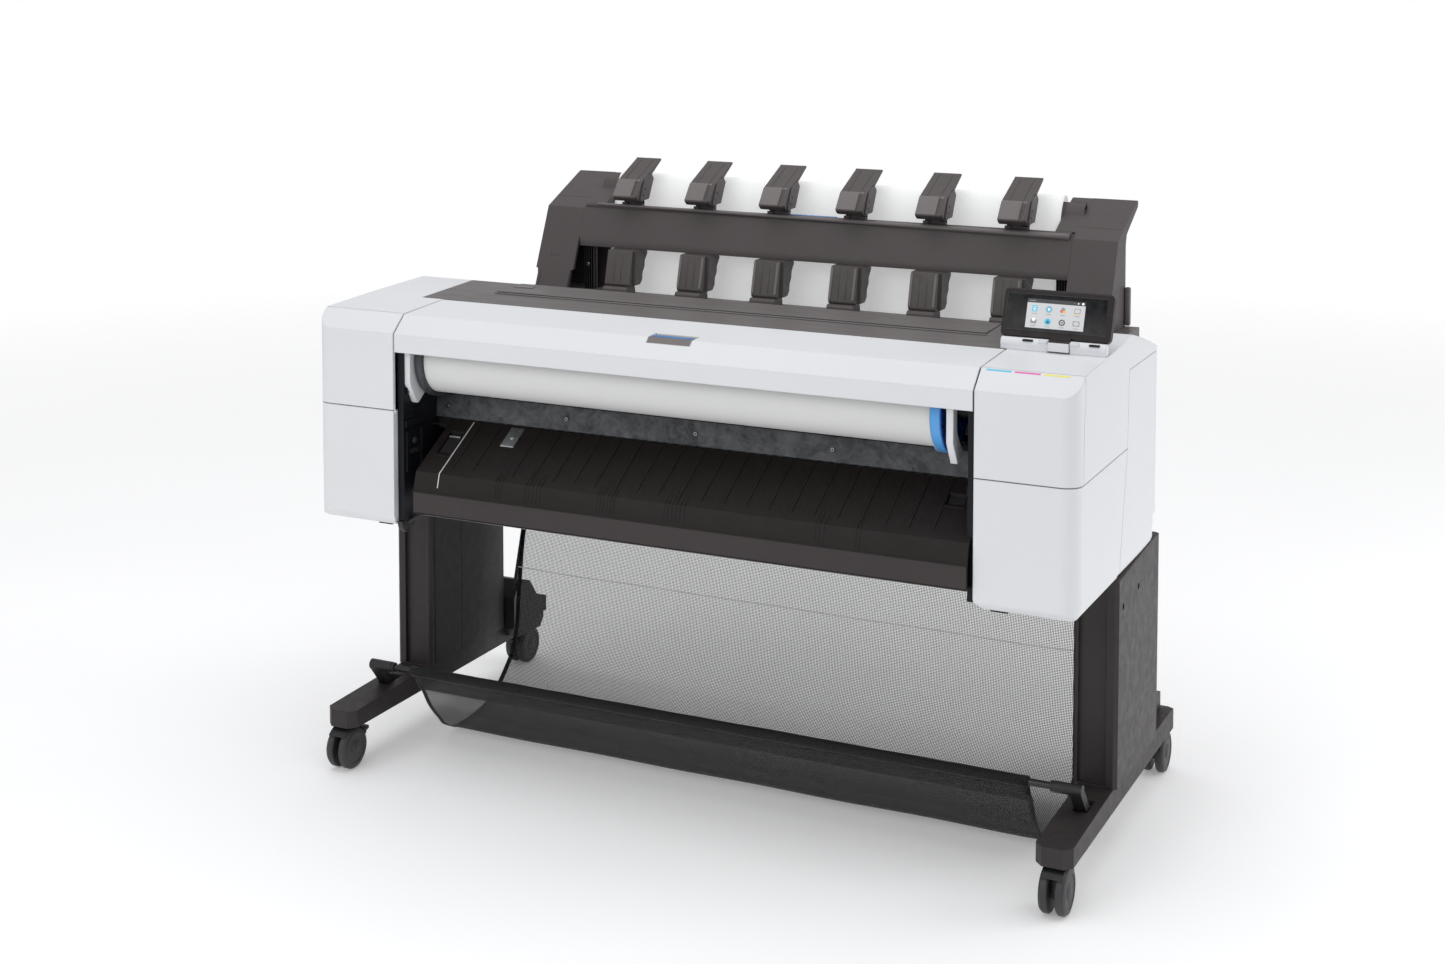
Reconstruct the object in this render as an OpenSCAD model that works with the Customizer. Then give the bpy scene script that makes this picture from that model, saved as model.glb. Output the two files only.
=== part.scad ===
// Large format plotter: a 36 inch class roll printer on a wheeled stand, with two end
// cabinets, a front roll bay, an output apron, a hanging print basket and a
// top stacker. Millimetres, +Z up, +X to the right as seen from the front,
// +Y towards the back. Origin on the floor, under the middle of the object.

/* [Cabinets] */
// Overall width over the two end cabinets
overall_w = 1390; // [1300:5:1500]
// Width of each end cabinet
cabinet_w = 164.5; // [150:0.5:175]
// Height of the horizontal seam between lower cover and ink door
seam_z = 672; // [650:1:690]
// Radius of the outer front corner of the cabinets
corner_r = 28; // [15:1:40]
// Wall thickness of the plastic covers
wall = 3; // [2:0.5:4]

/* [Roll] */
// Width of the paper roll
roll_w = 936; // [610:1:936]
// Outer radius of the paper on the roll
roll_r = 62; // [35:1:64]
// Radius of the flange on the spindle hubs
flange_r = 70; // [66:1:72]

/* [Stand] */
// Diameter of the caster wheels
wheel_d = 75; // [70:1:76]
// Height of the top of the feet where the legs stand
foot_top = 118; // [112:1:124]
// Radius of the front rod of the basket
rod_r = 6; // [5:0.5:6.5]

/* [Stacker] */
// Spacing of the guide paddles along the stacker
paddle_pitch = 158; // [140:1:165]
// Width of each guide paddle
paddle_w = 54; // [40:1:60]

/* [Output] */
// Spacing of the guide ribs on the output apron
rib_pitch = 40; // [30:1:60]

/* [Hidden] */
left = -1;
right = 1;
depth_mid = 387.5;              // middle of the depth, behind the front faces
half_w = overall_w/2;
in_x = half_w - cabinet_w;      // inner faces of the cabinets
cabinet_back = 480;
frame_x = 518;                  // inner faces of the side frames

white = [0.87, 0.88, 0.90];
dark = [0.32, 0.29, 0.28];
brown = [0.20, 0.17, 0.17];
black = [0.09, 0.09, 0.10];
steel = [0.66, 0.67, 0.69];
fabric_grey = [0.45, 0.45, 0.46];
wheel_grey = [0.17, 0.17, 0.18];
board_green = [0.10, 0.30, 0.16];
hub_grey = [0.25, 0.25, 0.26];
hub_blue = [0.13, 0.42, 0.85];
roll_white = [0.93, 0.93, 0.93];
sheet_white = [0.96, 0.96, 0.96];
deflector_grey = [0.27, 0.27, 0.29];
roller_black = [0.15, 0.15, 0.16];
pinch_grey = [0.30, 0.30, 0.31];
belt_black = [0.12, 0.12, 0.12];
station_grey = [0.35, 0.35, 0.36];
glass_black = [0.03, 0.03, 0.04];

// ---- helpers ----
// Outlines are lists of [y, z] for prism_x and of [x, z] for prism_y.
module prism_x(x0, x1, points)
  translate([x0, 0, 0]) rotate([90, 0, 90]) linear_extrude(x1 - x0) polygon(points);
module prism_y(y0, y1, points)
  translate([0, y1, 0]) rotate([90, 0, 0]) linear_extrude(y1 - y0) polygon(points);
module box(low, high) translate(low) cube(high - low);
module cyl_x(x0, x1, y, z, r)
  translate([x0, y, z]) rotate([0, 90, 0]) cylinder(r = r, h = x1 - x0, $fn = 48);
module cyl_y(y0, y1, x, z, r)
  translate([x, y0, z]) rotate([-90, 0, 0]) cylinder(r = r, h = y1 - y0, $fn = 48);
module cyl_z(r, h) cylinder(r = r, h = h, $fn = 48);

// Parts are laid out with y = 0 at the front face of the cabinets; this moves them
// so that the origin lies under the middle of the object.
module place() translate([0, -depth_mid, 0]) children();
// Parts with a twin are laid out on the right.
module on_side(side) {
  if (side < 0) mirror([1, 0, 0]) children();
  else children();
}
module both_sides() for (side = [left, right]) on_side(side) children();

function unit(v) = v/norm(v);
function line_normal(line, i) =
  let (count = len(line),
    before = i > 0 ? unit(line[i] - line[i-1]) : [0, 0],
    after = i < count-1 ? unit(line[i+1] - line[i]) : [0, 0],
    along = unit(before + after))
  [-along[1], along[0]];
// strip of the given thickness that follows a line of points
function band(line, thick) = concat(
  [for (i = [0:len(line)-1]) line[i] + line_normal(line, i)*thick/2],
  [for (i = [len(line)-1:-1:0]) line[i] - line_normal(line, i)*thick/2]);

// ---- stand ----
swivel_front = 50;
swivel_rear = 640;
caster_x = 660;
caster_trail = 20;                // from swivel axis to wheel axle
wheel_r = wheel_d/2;
screw_spots = [[282, 413.5], [380, 420.5]];   // [y, z]

foot_side = [[6, 80], [6, 111], [250, foot_top], [523, foot_top],
  [560, foot_top], [655, foot_top], [681, foot_top-5], [681, 80]];
foot_plan = [[629, 20], [642, 6], [676, 6], [689, 20],         // [x, y]
  [689, 667], [676, 681], [642, 681], [629, 667]];

module foot(side) on_side(side) color(brown) difference() {
  intersection() {
    prism_x(629, 689, foot_side);
    translate([0, 0, 70]) linear_extrude(60) polygon(foot_plan);
  }
  for (y = [swivel_front, swivel_rear]) translate([caster_x, y, 79]) cyl_z(5.6, 24);
  // slot for the basket rod bracket
  box([650, 149.5, 106], [673.5, 199, 130]);
  // channel underneath
  box([634, 205, 70], [684, 595, 108]);
}
module foot_left() place() foot(left);
module foot_right() place() foot(right);

leg_plan = [[620, 254], [624, 250], [688, 250], [694, 256],    // [x, y]
  [694, 517], [688, 523], [624, 523], [620, 519]];
leg_side = [[249, 100], [249, 461.5], [462, 475], [524, 475], [524, 100]];

module leg(side) on_side(side) color(brown) difference() {
  union() {
    intersection() {
      translate([0, 0, foot_top]) linear_extrude(400) polygon(leg_plan);
      prism_x(619, 695, leg_side);
    }
    box([634, 275, 458], [680, 460, 480]);
  }
  // open channel in the front face
  box([629, 249, 122], [675.5, 258, 455]);
  // hollow inside, with a thicker wall where the screws sit
  difference() {
    box([624.5, 262, 100], [690.5, 519, 455]);
    box([684, 274, 405], [691, 388, 430]);
  }
  // shallow groove, seam and notch on the inner side
  box([619, 264, 122], [621.5, 268, 458]);
  box([619, 360, 122], [621.2, 361.5, 458]);
  box([619, 255, 200], [621.5, 264, 212]);
  for (spot = screw_spots) cyl_x(688, 695, spot[0], spot[1], 5.5);
}
module leg_left() place() leg(left);
module leg_right() place() leg(right);

// channel between the legs, open to the back
module leg_brace() place() color(black) difference() {
  box([-620, 494, 408], [620, 518, 444]);
  box([-612, 497, 411], [612, 519, 441]);
}

module leg_screws() place() color(black) both_sides()
  for (spot = screw_spots) difference() {
    cyl_x(688, 692.4, spot[0], spot[1], 4.8);
    // cross recess, as half sizes in y and z
    for (half = [[3, 0.6], [0.6, 3]])
      box([691, spot[0]-half[0], spot[1]-half[1]], [693, spot[0]+half[0], spot[1]+half[1]]);
  }

// ---- basket ----
rod_y = 130;                      // front rod
rod_z = 157.3;
bar_y = 616;                      // rear bar
bar_z = 418;
wire_r = 4;                       // rear bar and its side wires
wire_foot = [610, 540, 180];      // lower end of the right side wire
wire_lean = atan2(bar_y - wire_foot[1], bar_z - wire_foot[2]);
fabric_half_w = 587;

module basket_front_rod() place() color(black) cyl_x(-650, 650, rod_y, rod_z, rod_r);

rod_post = [[122, 153], [121, 158], [125, 164], [134, 166], [139, 161],
  [139.5, 156], [167, 124], [178, 113], [178, 106], [157, 106], [157, 111]];
// barrel on a leaning post that stands in a slot of the foot
module basket_rod_brackets() place() color(black) both_sides() difference() {
  union() {
    cyl_x(626, 671.5, rod_y, rod_z, 9.4);
    prism_x(652, 671.5, rod_post);
  }
  cyl_x(625, 650.5, rod_y, rod_z, rod_r + 0.05);
}

module side_wire(side, r, h)
  translate([side*wire_foot[0], wire_foot[1], wire_foot[2]])
    rotate([-wire_lean, 0, 0]) cyl_z(r, h);

// bent wire that carries the back edge of the basket
module basket_rear_frame() place() color(black) {
  cyl_x(-640, 640, bar_y, bar_z, wire_r);
  for (side = [left, right]) side_wire(side, wire_r, 249.8);
}

wire_socket = [[526, foot_top], [526, 178], [552, 208], [588, 198],
  [618, 160], [655, 148], [655, foot_top]];
wire_socket_tab = [[545, 92], [530, 112], [530, 119], [650, 119], [650, 104], [636, 88]];
bar_bracket = [[523, 384], [523, 440], [600, 438], [634, 430], [634, 404],
  [600, 394], [566, 384]];
// lower sockets on the feet and upper brackets behind the legs
module basket_rear_brackets() place() color(black) both_sides() {
  difference() {
    union() {
      prism_x(600, 668, wire_socket);
      prism_x(604, 628.5, wire_socket_tab);
    }
    side_wire(right, wire_r + 0.06, 60);
  }
  difference() {
    prism_x(622, 662, bar_bracket);
    cyl_x(621, 640.5, bar_y, bar_z, wire_r + 0.05);
  }
}

// [y, z] along the middle of the cloth, from the front rod to the rear bar
fabric_line = [[134.5, 150], [150, 128], [164, 112], [178, 88], [196, 60], [222, 24],
  [246, 12.5], [292, 9], [345, 11.5], [397, 22.8], [427, 44.7], [454, 68],
  [477, 93], [492, 140], [500, 204], [522.6, 320.6], [560, 374], [610.5, 413.5]];
module basket_fabric() place() color(fabric_grey) difference() {
  union() {
    prism_x(-fabric_half_w, fabric_half_w, band(fabric_line, 3));
    cyl_x(-fabric_half_w, fabric_half_w, rod_y, rod_z, rod_r + 3.2);
    cyl_x(-fabric_half_w, fabric_half_w, bar_y, bar_z, 7.6);
  }
  cyl_x(-fabric_half_w - 1, fabric_half_w + 1, rod_y, rod_z, rod_r + 1);
  cyl_x(-fabric_half_w - 1, fabric_half_w + 1, bar_y, bar_z, 5.2);
}

// ---- casters ----
// both outlines are measured from the wheel axle
fork_side = [[-13, -8], [-6, -14], [8, -14], [44, 14], [54, 18], [54, 23],
  [38, 25], [33, 41.9], [2, 41.9], [-13, 12]];
fork_tail = [[42, 13.5], [54, 18], [54, 23], [42, 24.4]];
// facing is +1 when the swivel axis lies behind the wheel, -1 when in front of it
module caster_fork(side, swivel_y, facing) on_side(side) color(black)
  translate([caster_x, swivel_y - facing*caster_trail, wheel_r])
  scale([1, facing, 1]) difference() {
    union() {
      translate([0, caster_trail, 79.6 - wheel_r]) cyl_z(5.5, 21);
      translate([0, caster_trail, 75.4 - wheel_r]) cyl_z(14, 4.5);
      prism_x(-4.5, 4.5, fork_side);
      prism_x(-12, 12, fork_tail);
    }
    cyl_x(-5, 5, 0, 0, 4.05);
  }
module caster_fork_fl() place() caster_fork(left, swivel_front, 1);
module caster_fork_fr() place() caster_fork(right, swivel_front, 1);
module caster_fork_rl() place() caster_fork(left, swivel_rear, -1);
module caster_fork_rr() place() caster_fork(right, swivel_rear, -1);

// section of one wheel: [radius, distance from the middle of the caster]
wheel_section = [[0, 6], [wheel_r-2.5, 6], [wheel_r, 8.5], [wheel_r, 16],
  [wheel_r-3, 20], [wheel_r-9, 21.5], [wheel_r-12, 20.5], [14, 20.5], [12, 22], [0, 22]];
// axle with a wheel on each side of the fork
module caster_wheels(side, axle_y) on_side(side) color(wheel_grey)
  translate([caster_x, axle_y, wheel_r]) {
    cyl_x(-20, 20, 0, 0, 4);
    both_sides() rotate([0, 90, 0]) rotate_extrude($fn = 72) polygon(wheel_section);
  }
module caster_wheels_fl() place() caster_wheels(left, swivel_front - caster_trail);
module caster_wheels_fr() place() caster_wheels(right, swivel_front - caster_trail);
module caster_wheels_rl() place() caster_wheels(left, swivel_rear + caster_trail);
module caster_wheels_rr() place() caster_wheels(right, swivel_rear + caster_trail);

// ---- chassis ----
roll_x0 = -489;                   // left end of the paper
roll_x1 = roll_x0 + roll_w;
roll_y = 95;
roll_z = 755;
feed_y = 348;
feed_z = 627;
pinch_z = feed_z + 21.1;

module chassis_tray() place() color(steel) {
  box([-frame_x, 60, 474], [frame_x, 470, 478]);
  box([-frame_x, 60, 477], [frame_x, 63, 520]);
  box([-frame_x, 467, 477], [frame_x, 470, 560]);
  for (x = [-300, 0, 300]) box([x-2, 63, 477], [x+2, 467, 500]);
}

frame_side = [[12, 474], [12, 796], [30, 820], [50, 830], [160, 832],
  [160, 640], [336, 640], [340, 659], [356, 659], [360, 640], [470, 640], [470, 474]];
module side_frames() place() color(black) both_sides() difference() {
  union() {
    prism_x(frame_x, 530, frame_side);
    box([529, 190, 480], [677, 456, 486]);
    box([676, 20, 480], [682, 456, 798]);
    box([529, 20, 684], [677, 186, 690]);
  }
  // bearings of the spindle, feed roller and pinch rollers
  cyl_x(frame_x - 1, 527, roll_y, roll_z, 8.05);
  cyl_x(frame_x - 1, 526.5, feed_y, feed_z, 6.05);
  cyl_x(frame_x - 1, 526.5, feed_y, pinch_z, 3.05);
  // shallow grooves across the inner face
  for (z = [560:26:690]) box([frame_x - 1, 22, z], [519, 62, z + 5]);
}

// ---- cabinets ----
// plan of an end cabinet, inset from its faces and run back to y = back
module cabinet_plan(inset, z0, z1, back)
  translate([0, 0, z0]) linear_extrude(z1 - z0) polygon(concat(
    [[in_x + 0.5 + inset, inset]],
    [for (a = [-90:7.5:0])
      [half_w - corner_r, corner_r] + (corner_r - inset)*[cos(a), sin(a)]],
    [[half_w - inset, back], [in_x + 0.5 + inset, back]]));

// Side outlines are [y, z], front outlines are [x, z].
lower_side = [[-1, 485], [4, 476], [20, 464], [245, 462], [290, seam_z-0.5],
  [-1, seam_z-0.5]];
lower_front = [[in_x, seam_z], [in_x, 478], [in_x+12, 462], [half_w-14, 462],
  [half_w-4, 470], [half_w, 484], [half_w, seam_z]];
lower_side_inner = [[-1, 486], [8, 478], [22, 467], [260, 465], [300, seam_z+5],
  [-1, seam_z+5]];
lower_front_inner = [[in_x, seam_z+5], [in_x, 480], [in_x+14, 465], [half_w-16, 465],
  [half_w-7, 472], [half_w, 486], [half_w, seam_z+5]];

module cabinet_lower(side) on_side(side) color(white) difference() {
  intersection() {
    cabinet_plan(0, 460, seam_z - 0.5, 400);
    prism_x(in_x, half_w + 1, lower_side);
    prism_y(-1, 400, lower_front);
  }
  intersection() {
    cabinet_plan(wall, 460, seam_z + 5, 401);
    prism_x(in_x, half_w + 1, lower_side_inner);
    prism_y(-1, 401, lower_front_inner);
  }
  // cable slot in the underside
  box([in_x + 20, 24, 460], [in_x + 50, 32, 468]);
  // inner wall is cut for the frame plate and for the parked carriage
  box([in_x - 1, 188, 479.4], [in_x + 6, 401, 486.6]);
  box([in_x - 1, 184, 640], [in_x + 6, 401, 700]);
}
module cabinet_left_lower() place() cabinet_lower(left);
module cabinet_right_lower() place() cabinet_lower(right);

// outer top edge, shared by the ink door and the top cover
top_front = [[in_x, 600], [in_x, 870], [half_w-10, 870], [half_w-8, 851],
  [half_w-2, 846], [half_w, 838], [half_w, 600]];
door_side = [[-1, seam_z], [-1, 808], [0, 808.9], [34, 838], [36, 838.6],
  [36, 780], [30, 775], [30, seam_z]];
door_side_inner = [[-1, seam_z], [-1, 806], [2, 806.5], [36, 835.4],
  [45, 836], [61, 836], [61, seam_z]];
door_inner_opening = [[wall + 4, seam_z], [wall + 4, 809.4], [36, 834.2],
  [70, 834.2], [70, seam_z]];

// door over the ink cartridges: front face, rounded corner and chamfer
module ink_door(side) on_side(side) color(white) intersection() {
  difference() {
    cabinet_plan(0, seam_z + 1, 850, 60);
    intersection() {
      cabinet_plan(wall, seam_z, 860, 61);
      prism_x(in_x, half_w + 1, door_side_inner);
    }
    prism_x(in_x - 1, in_x + 10, door_inner_opening);
  }
  prism_x(in_x, half_w + 1, door_side);
  prism_y(-1, 61, top_front);
}
module ink_door_left() place() ink_door(left);
module ink_door_right() place() ink_door(right);

top_side = [[37, 838.9], [161, 844], [340, 850], [434, 823], [480, 808],
  [480, 800.5], [296.8, 800.5], [290.4, seam_z+1], [31, seam_z+1],
  [31, 775.4], [37, 780.4]];
top_side_inner = [[-1, 600], [-1, 804], [36, 835], [161, 840.9],
  [340, 846.9], [433, 820], [477, 806], [477, 600]];
top_front_inner = [[in_x, 600], [in_x, 870], [half_w-12, 870], [half_w-11, 848.5],
  [half_w-4, 843], [half_w-3, 836], [half_w-3, 600]];
hinge_y = 157.5;                  // hinge of the roll cover
hinge_z = 839.5;

module cabinet_top(side) on_side(side) color(white) difference() {
  intersection() {
    cabinet_plan(0, 600, 900, cabinet_back);
    prism_x(in_x, half_w + 1, top_side);
    prism_y(-1, 481, top_front);
  }
  intersection() {
    cabinet_plan(wall, 599, 900, 477);
    prism_x(in_x, half_w + 1, top_side_inner);
    prism_y(-1, 481, top_front_inner);
  }
  // clear of the carriage and of the dark top frame
  box([in_x - 1, -2, 600], [in_x + 6, 301, 799]);
  box([in_x - 1, 164.5, 600], [577, 481, 900]);
  cyl_x(in_x - 1, in_x + 6, hinge_y, hinge_z, 2.6);
}
module cabinet_left_top() place() cabinet_top(left);
module cabinet_right_top() place() cabinet_top(right);

rear_side = [[246.5, 462], [462, 475.5], [467, 519], [480, 521],
  [480, 799.5], [298, 799.5], [291.5, seam_z]];
rear_front = [[in_x+1.5, 460], [half_w-14, 460], [half_w-4, 472], [half_w, 484],
  [half_w, 800], [in_x+1.5, 800]];
rear_side_inner = [[200, 463], [247, 465], [459, 478.5], [464, 523],
  [477, 524], [477, 801], [200, 801]];
rear_front_inner = [[in_x, 460], [half_w-16, 460], [half_w-7, 474], [half_w-3, 486],
  [half_w-3, 801], [in_x, 801]];
module rear_side_covers() place() color(white) both_sides() difference() {
  intersection() {
    cabinet_plan(0, 450, 900, cabinet_back);
    prism_x(in_x, half_w + 1, rear_side);
    prism_y(-1, 481, rear_front);
  }
  intersection() {
    box([in_x, 200, 450], [half_w - wall, 477, 900]);
    prism_x(in_x - 1, half_w + 1, rear_side_inner);
    prism_y(-1, 481, rear_front_inner);
  }
  // opening over the head of the leg
  box([631, 272, 450], [683, 463, 482]);
}

cartridge_x = 547;
cartridge_pitch = 43;
cartridge_side = [[22, 690], [22, 786], [30, 800], [176, 800], [184, 792], [184, 690]];
module ink_cartridges() place() color(black) both_sides()
  for (x = [for (i = [0:2]) cartridge_x + cartridge_pitch*i]) difference() {
    prism_x(x, x + 38, cartridge_side);
    box([x + 5, 21, 705], [x + 33, 24, 765]);
  }

// ---- rear ----
housing_low = [-610, cabinet_back, 500];
housing_high = [610, 700, 796];
housing_wall = [4, 4, 4];
board_sockets = [[-290, -200, 600, 640], [-180, -130, 600, 634]];   // [x0, x1, z0, z1]
power_inlet = [400, 450, 540, 570];
socket_gap = 0.5;

module socket_box(socket, y0, y1, gap = 0)
  box([socket[0] - gap, y0, socket[2] - gap], [socket[1] + gap, y1, socket[3] + gap]);

top_frame_side = [[165, 834.2], [165, 844.13], [340, 850], [434, 823], [481, 808],
  [481, 801], [470, 801], [430, 814], [338, 840]];
top_frame_tail = [[462, 808], [481, 803], [481, 790], [474, 790], [474, 802]];
// rear box and the top frame in front of it
module rear_housing() place() color(dark) difference() {
  union() {
    box(housing_low, housing_high);
    prism_x(-576, 576, top_frame_side);
    prism_x(-528, 528, top_frame_tail);
  }
  // opening under the lid
  box([-467, 249.5, 830], [467, 339, 870]);
  box(housing_low + housing_wall, housing_high - housing_wall);
  // slot for finished prints, and the paper path from the rollers
  box([-470, 640, 790], [470, 676, 800]);
  box([-470, 478, 620], [470, 486, 668]);
  for (socket = concat(board_sockets, [power_inlet]))
    socket_box(socket, 690, 702, socket_gap);
}

module main_board() place() color(board_green) {
  box([-320, 660, 504], [-60, 662, 740]);
  for (socket = board_sockets) socket_box(socket, 661, 699);
  for (x = [-300, -230, -160]) box([x, 652, 670], [x + 40, 661, 710]);
}

module power_supply() place() color(steel) {
  difference() {
    box([300, 560, 504], [470, 690, 600]);
    for (x = [315:12:450]) box([x, 580, 598], [x + 6, 670, 601]);
  }
  socket_box(power_inlet, 689, 699);
}

// ---- roll bay ----
cover_side = [[0, 776], [0, 808], [34, 838], [161, 844],
  [161, 840.8], [35.2, 834.8], [3.2, 806.6], [3.2, 776]];
cover_arm = [[2.5, 790], [2.5, 805], [35.5, 835], [70, 837], [60, 806], [40, 790],
  [34, 770], [34, 738], [38, 727], [64, 697], [43, 681.5], [38, 681.5],
  [16, 718], [16, 780], [12, 788]];
module roll_cover() place() color(white) difference() {
  union() {
    prism_x(-528.5, 528.5, cover_side);
    // end arms
    for (x = [-517.4, 481]) prism_x(x, x + 11.5, cover_arm);
    // hinge pins
    both_sides() {
      cyl_x(524, 532.5, hinge_y, hinge_z, 2.5);
      box([524, 154, 836.5], [528, 160.5, 842]);
    }
  }
  // latch opening
  box([-44.5, 25, 800], [33.5, 61, 860]);
}

latch_side = [[25.3, 826.8], [25.3, 830.2], [33.9, 837.8], [48, 838.5],
  [48, 833], [60.4, 833.6], [60.4, 831], [36, 830]];
// finger latch: a flush paddle with a recess behind it
module cover_latch() place() color(dark) prism_x(-44.2, 33.2, latch_side);

spindle_r = 12;
module spindle() place() color(black) {
  cyl_x(-516, 516, roll_y, roll_z, spindle_r);
  cyl_x(-526, 526, roll_y, roll_z, 8);
}

// flange from x0 to x1 with a sleeve that reaches into the roll to sleeve_x
module hub(x0, x1, sleeve_x, tint) {
  low_x = min(x0, sleeve_x);
  high_x = max(x1, sleeve_x);
  color(tint) difference() {
    union() {
      cyl_x(x0, x1, roll_y, roll_z, flange_r);
      cyl_x(low_x, high_x, roll_y, roll_z, 25);
    }
    cyl_x(low_x - 1, high_x + 1, roll_y, roll_z, spindle_r + 0.05);
  }
}
module hub_left() place() hub(-501.5, roll_x0 - 0.5, roll_x0 + 24, hub_grey);
module hub_right() place() hub(roll_x1 + 3.5, roll_x1 + 20, roll_x1 - 30, hub_blue);

module paper_roll() place() color(roll_white) difference() {
  cyl_x(roll_x0, roll_x1, roll_y, roll_z, roll_r);
  cyl_x(roll_x0 - 1, roll_x1 + 1, roll_y, roll_z, 25.4);
}

deflector_side = [[118, 640.2], [122, 682], [130, 690], [152, 690], [152, 687],
  [131, 687], [125, 681], [121, 640.2]];
module roll_deflector() place() color(deflector_grey)
  prism_x(-frame_x, frame_x, deflector_side);

// ---- paper path ----
apron_left = -485;
clip_x = -344;
apron_side = [[12.2, 499], [12.2, 577], [117, 637], [117, 631.5], [14, 572.5], [14, 499]];
apron_lip = [[-10, 497.5], [-10, 536], [0, 570], [12.3, 577.06], [12.3, 571],
  [3, 565], [-6.5, 535], [-6.5, 501], [40, 501], [40, 497.5]];
apron_rib = [[13, 577], [13, 579.2], [112, 636], [115, 635.7]];
module output_apron() place() color(brown) {
  difference() {
    prism_x(apron_left, frame_x, apron_side);
    // openings near both ends
    box([-470, 39, 594.2], [-443, 92, 640]);
    box([463, 63, 607.5], [493, 88, 640]);
  }
  difference() {
    prism_x(apron_left, 524.5, apron_lip);
    box([517.5, 11.8, 490], [526, 60, 585]);
    // slanted left end
    translate([apron_left, -12, 536]) rotate([0, 0, 18]) box([-30, -20, -50], [0, 60, 60]);
  }
  box([-frame_x, 106, 627.5], [-484, 112, 631]);
  // guide ribs, left out at the clip
  for (x = [-420:rib_pitch:460]) if (abs(x - clip_x) > 14) prism_x(x, x + 2, apron_rib);
}

clip_side = [[72, 611.6], [72, 613.4], [113, 636.9], [113, 635.1]];
module apron_clip() place() color(steel) {
  prism_x(clip_x - 13, clip_x + 13, clip_side);
  translate([clip_x, 92, 623.3]) rotate([29.8, 0, 0]) cylinder(r = 4, h = 3.6, $fn = 32);
}

module print_platen() place() color(black) difference() {
  box([-frame_x, 125, 618], [frame_x, 322, 640]);
  // grooves on top and pockets underneath
  for (y = [150:34:300]) box([-500, y, 636], [500, y + 16, 641]);
  for (x = [-480:80:400]) box([x, 122, 614], [x + 60, 330, 632]);
}

module feed_roller() place() color(roller_black) {
  cyl_x(-505, 505, feed_y, feed_z, 13);
  cyl_x(-525, 525, feed_y, feed_z, 6);
}
module pinch_rollers() place() color(pinch_grey) {
  cyl_x(-525, 525, feed_y, pinch_z, 3);
  for (x = [-470:80:450]) cyl_x(x, x + 40, feed_y, pinch_z, 8);
}

lid_side = [[250.5, 842.5], [250.5, 848.2], [254, 850.3], [262, 850.6],
  [316, 851], [320, 851.9], [334, 852.1], [337, 851.3], [338, 850],
  [338, 845], [334, 844]];
// lid over the print zone, with a raised hinge bar along its back edge
module top_window() place() color(dark) prism_x(-466, 466, lid_side);

// ---- print carriage ----
guide_y = 318;                    // round guide rod
guide_z = 714;
guide_r = 8;
rail_half_w = 676;
rail_z = 740;                     // mid-height of the square rail
belt_z = 750;
pulley_x = 650;

carriage_side = [[190, 654], [190, 774], [204, 790], [300, 798], [334, 798], [334, 654]];
module carriage() place() color(black) difference() {
  union() {
    prism_x(518, 668, carriage_side);
    for (i = [0:3]) box([530 + 32*i, 215, 641.8], [552 + 32*i, 290, 655]);
    box([578, 333, 732], [608, 344.5, 748]);
  }
  cyl_x(517, 669, guide_y, guide_z, guide_r + 0.05);
  // slot around the lower run of the belt
  box([577, 336.5, 738.9], [609, 346, 741.4]);
  for (i = [0:2]) box([530 + 44*i, 210, 778], [566 + 44*i, 290, 800]);
}

module carriage_rail() place() color(steel) {
  difference() {
    box([-rail_half_w, 346, rail_z - 50], [rail_half_w, 386, rail_z + 50]);
    box([-rail_half_w - 1, 349, rail_z - 47], [rail_half_w + 1, 383, rail_z + 47]);
    for (x = [-600:150:600]) cyl_y(345, 390, x, rail_z, 14);
  }
  cyl_x(-rail_half_w, rail_half_w, guide_y, guide_z, guide_r);
}

// round-ended slab about the two pulley axes
module stadium(r, y0, y1) {
  box([-pulley_x, y0, belt_z - r], [pulley_x, y1, belt_z + r]);
  for (x = [-pulley_x, pulley_x]) cyl_y(y0, y1, x, belt_z, r);
}
module drive_belt() place() color(belt_black) difference() {
  stadium(10.65, 337, 343);
  stadium(9.05, 336, 344);
}

// pulleys with their stubs, and the motor behind the rail
module carriage_drive() place() color(steel) {
  for (x = [-pulley_x, pulley_x]) {
    cyl_y(336.4, 343.6, x, belt_z, 9);
    cyl_y(343.5, 346, x, belt_z, 4);
  }
  difference() {
    cyl_y(386, 438, -638, rail_z, 26);
    cyl_y(436, 439, -638, rail_z, 20);
  }
}

module service_station() place() color(station_grey) {
  box([560, 220, 486], [650, 310, 576]);
  difference() {
    box([545, 200, 574], [665, 330, 636]);
    box([550, 205, 624], [660, 325, 637]);
  }
  for (i = [0:3]) box([555 + 26*i, 225, 614], [573 + 26*i, 285, 641.3]);
}

// ---- front panel ----
panel_y = 172;                    // tilt axis
panel_z = 854.2;
panel_tilt = 22;                  // top leans back
panel_x0 = 514;
panel_x1 = 693;
panel_bottom = 10.2;              // heights above the tilt axis
panel_top = 90.5;
pocket_low = [520, 22];           // [x, z] of the glass pocket
pocket_high = [684, 81.5];
glass_gap = 0.2;

base_side = [[164, 844.13], [164, panel_z], [180, panel_z], [180, 844.67]];
module panel_base() place() color(white) {
  for (span = [[520, 597], [633, 691]]) {
    cyl_x(span[0], span[1], panel_y, panel_z, 9);
    prism_x(span[0], span[1], base_side);
  }
  cyl_x(590, 640, panel_y, panel_z, 3);
}

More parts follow.
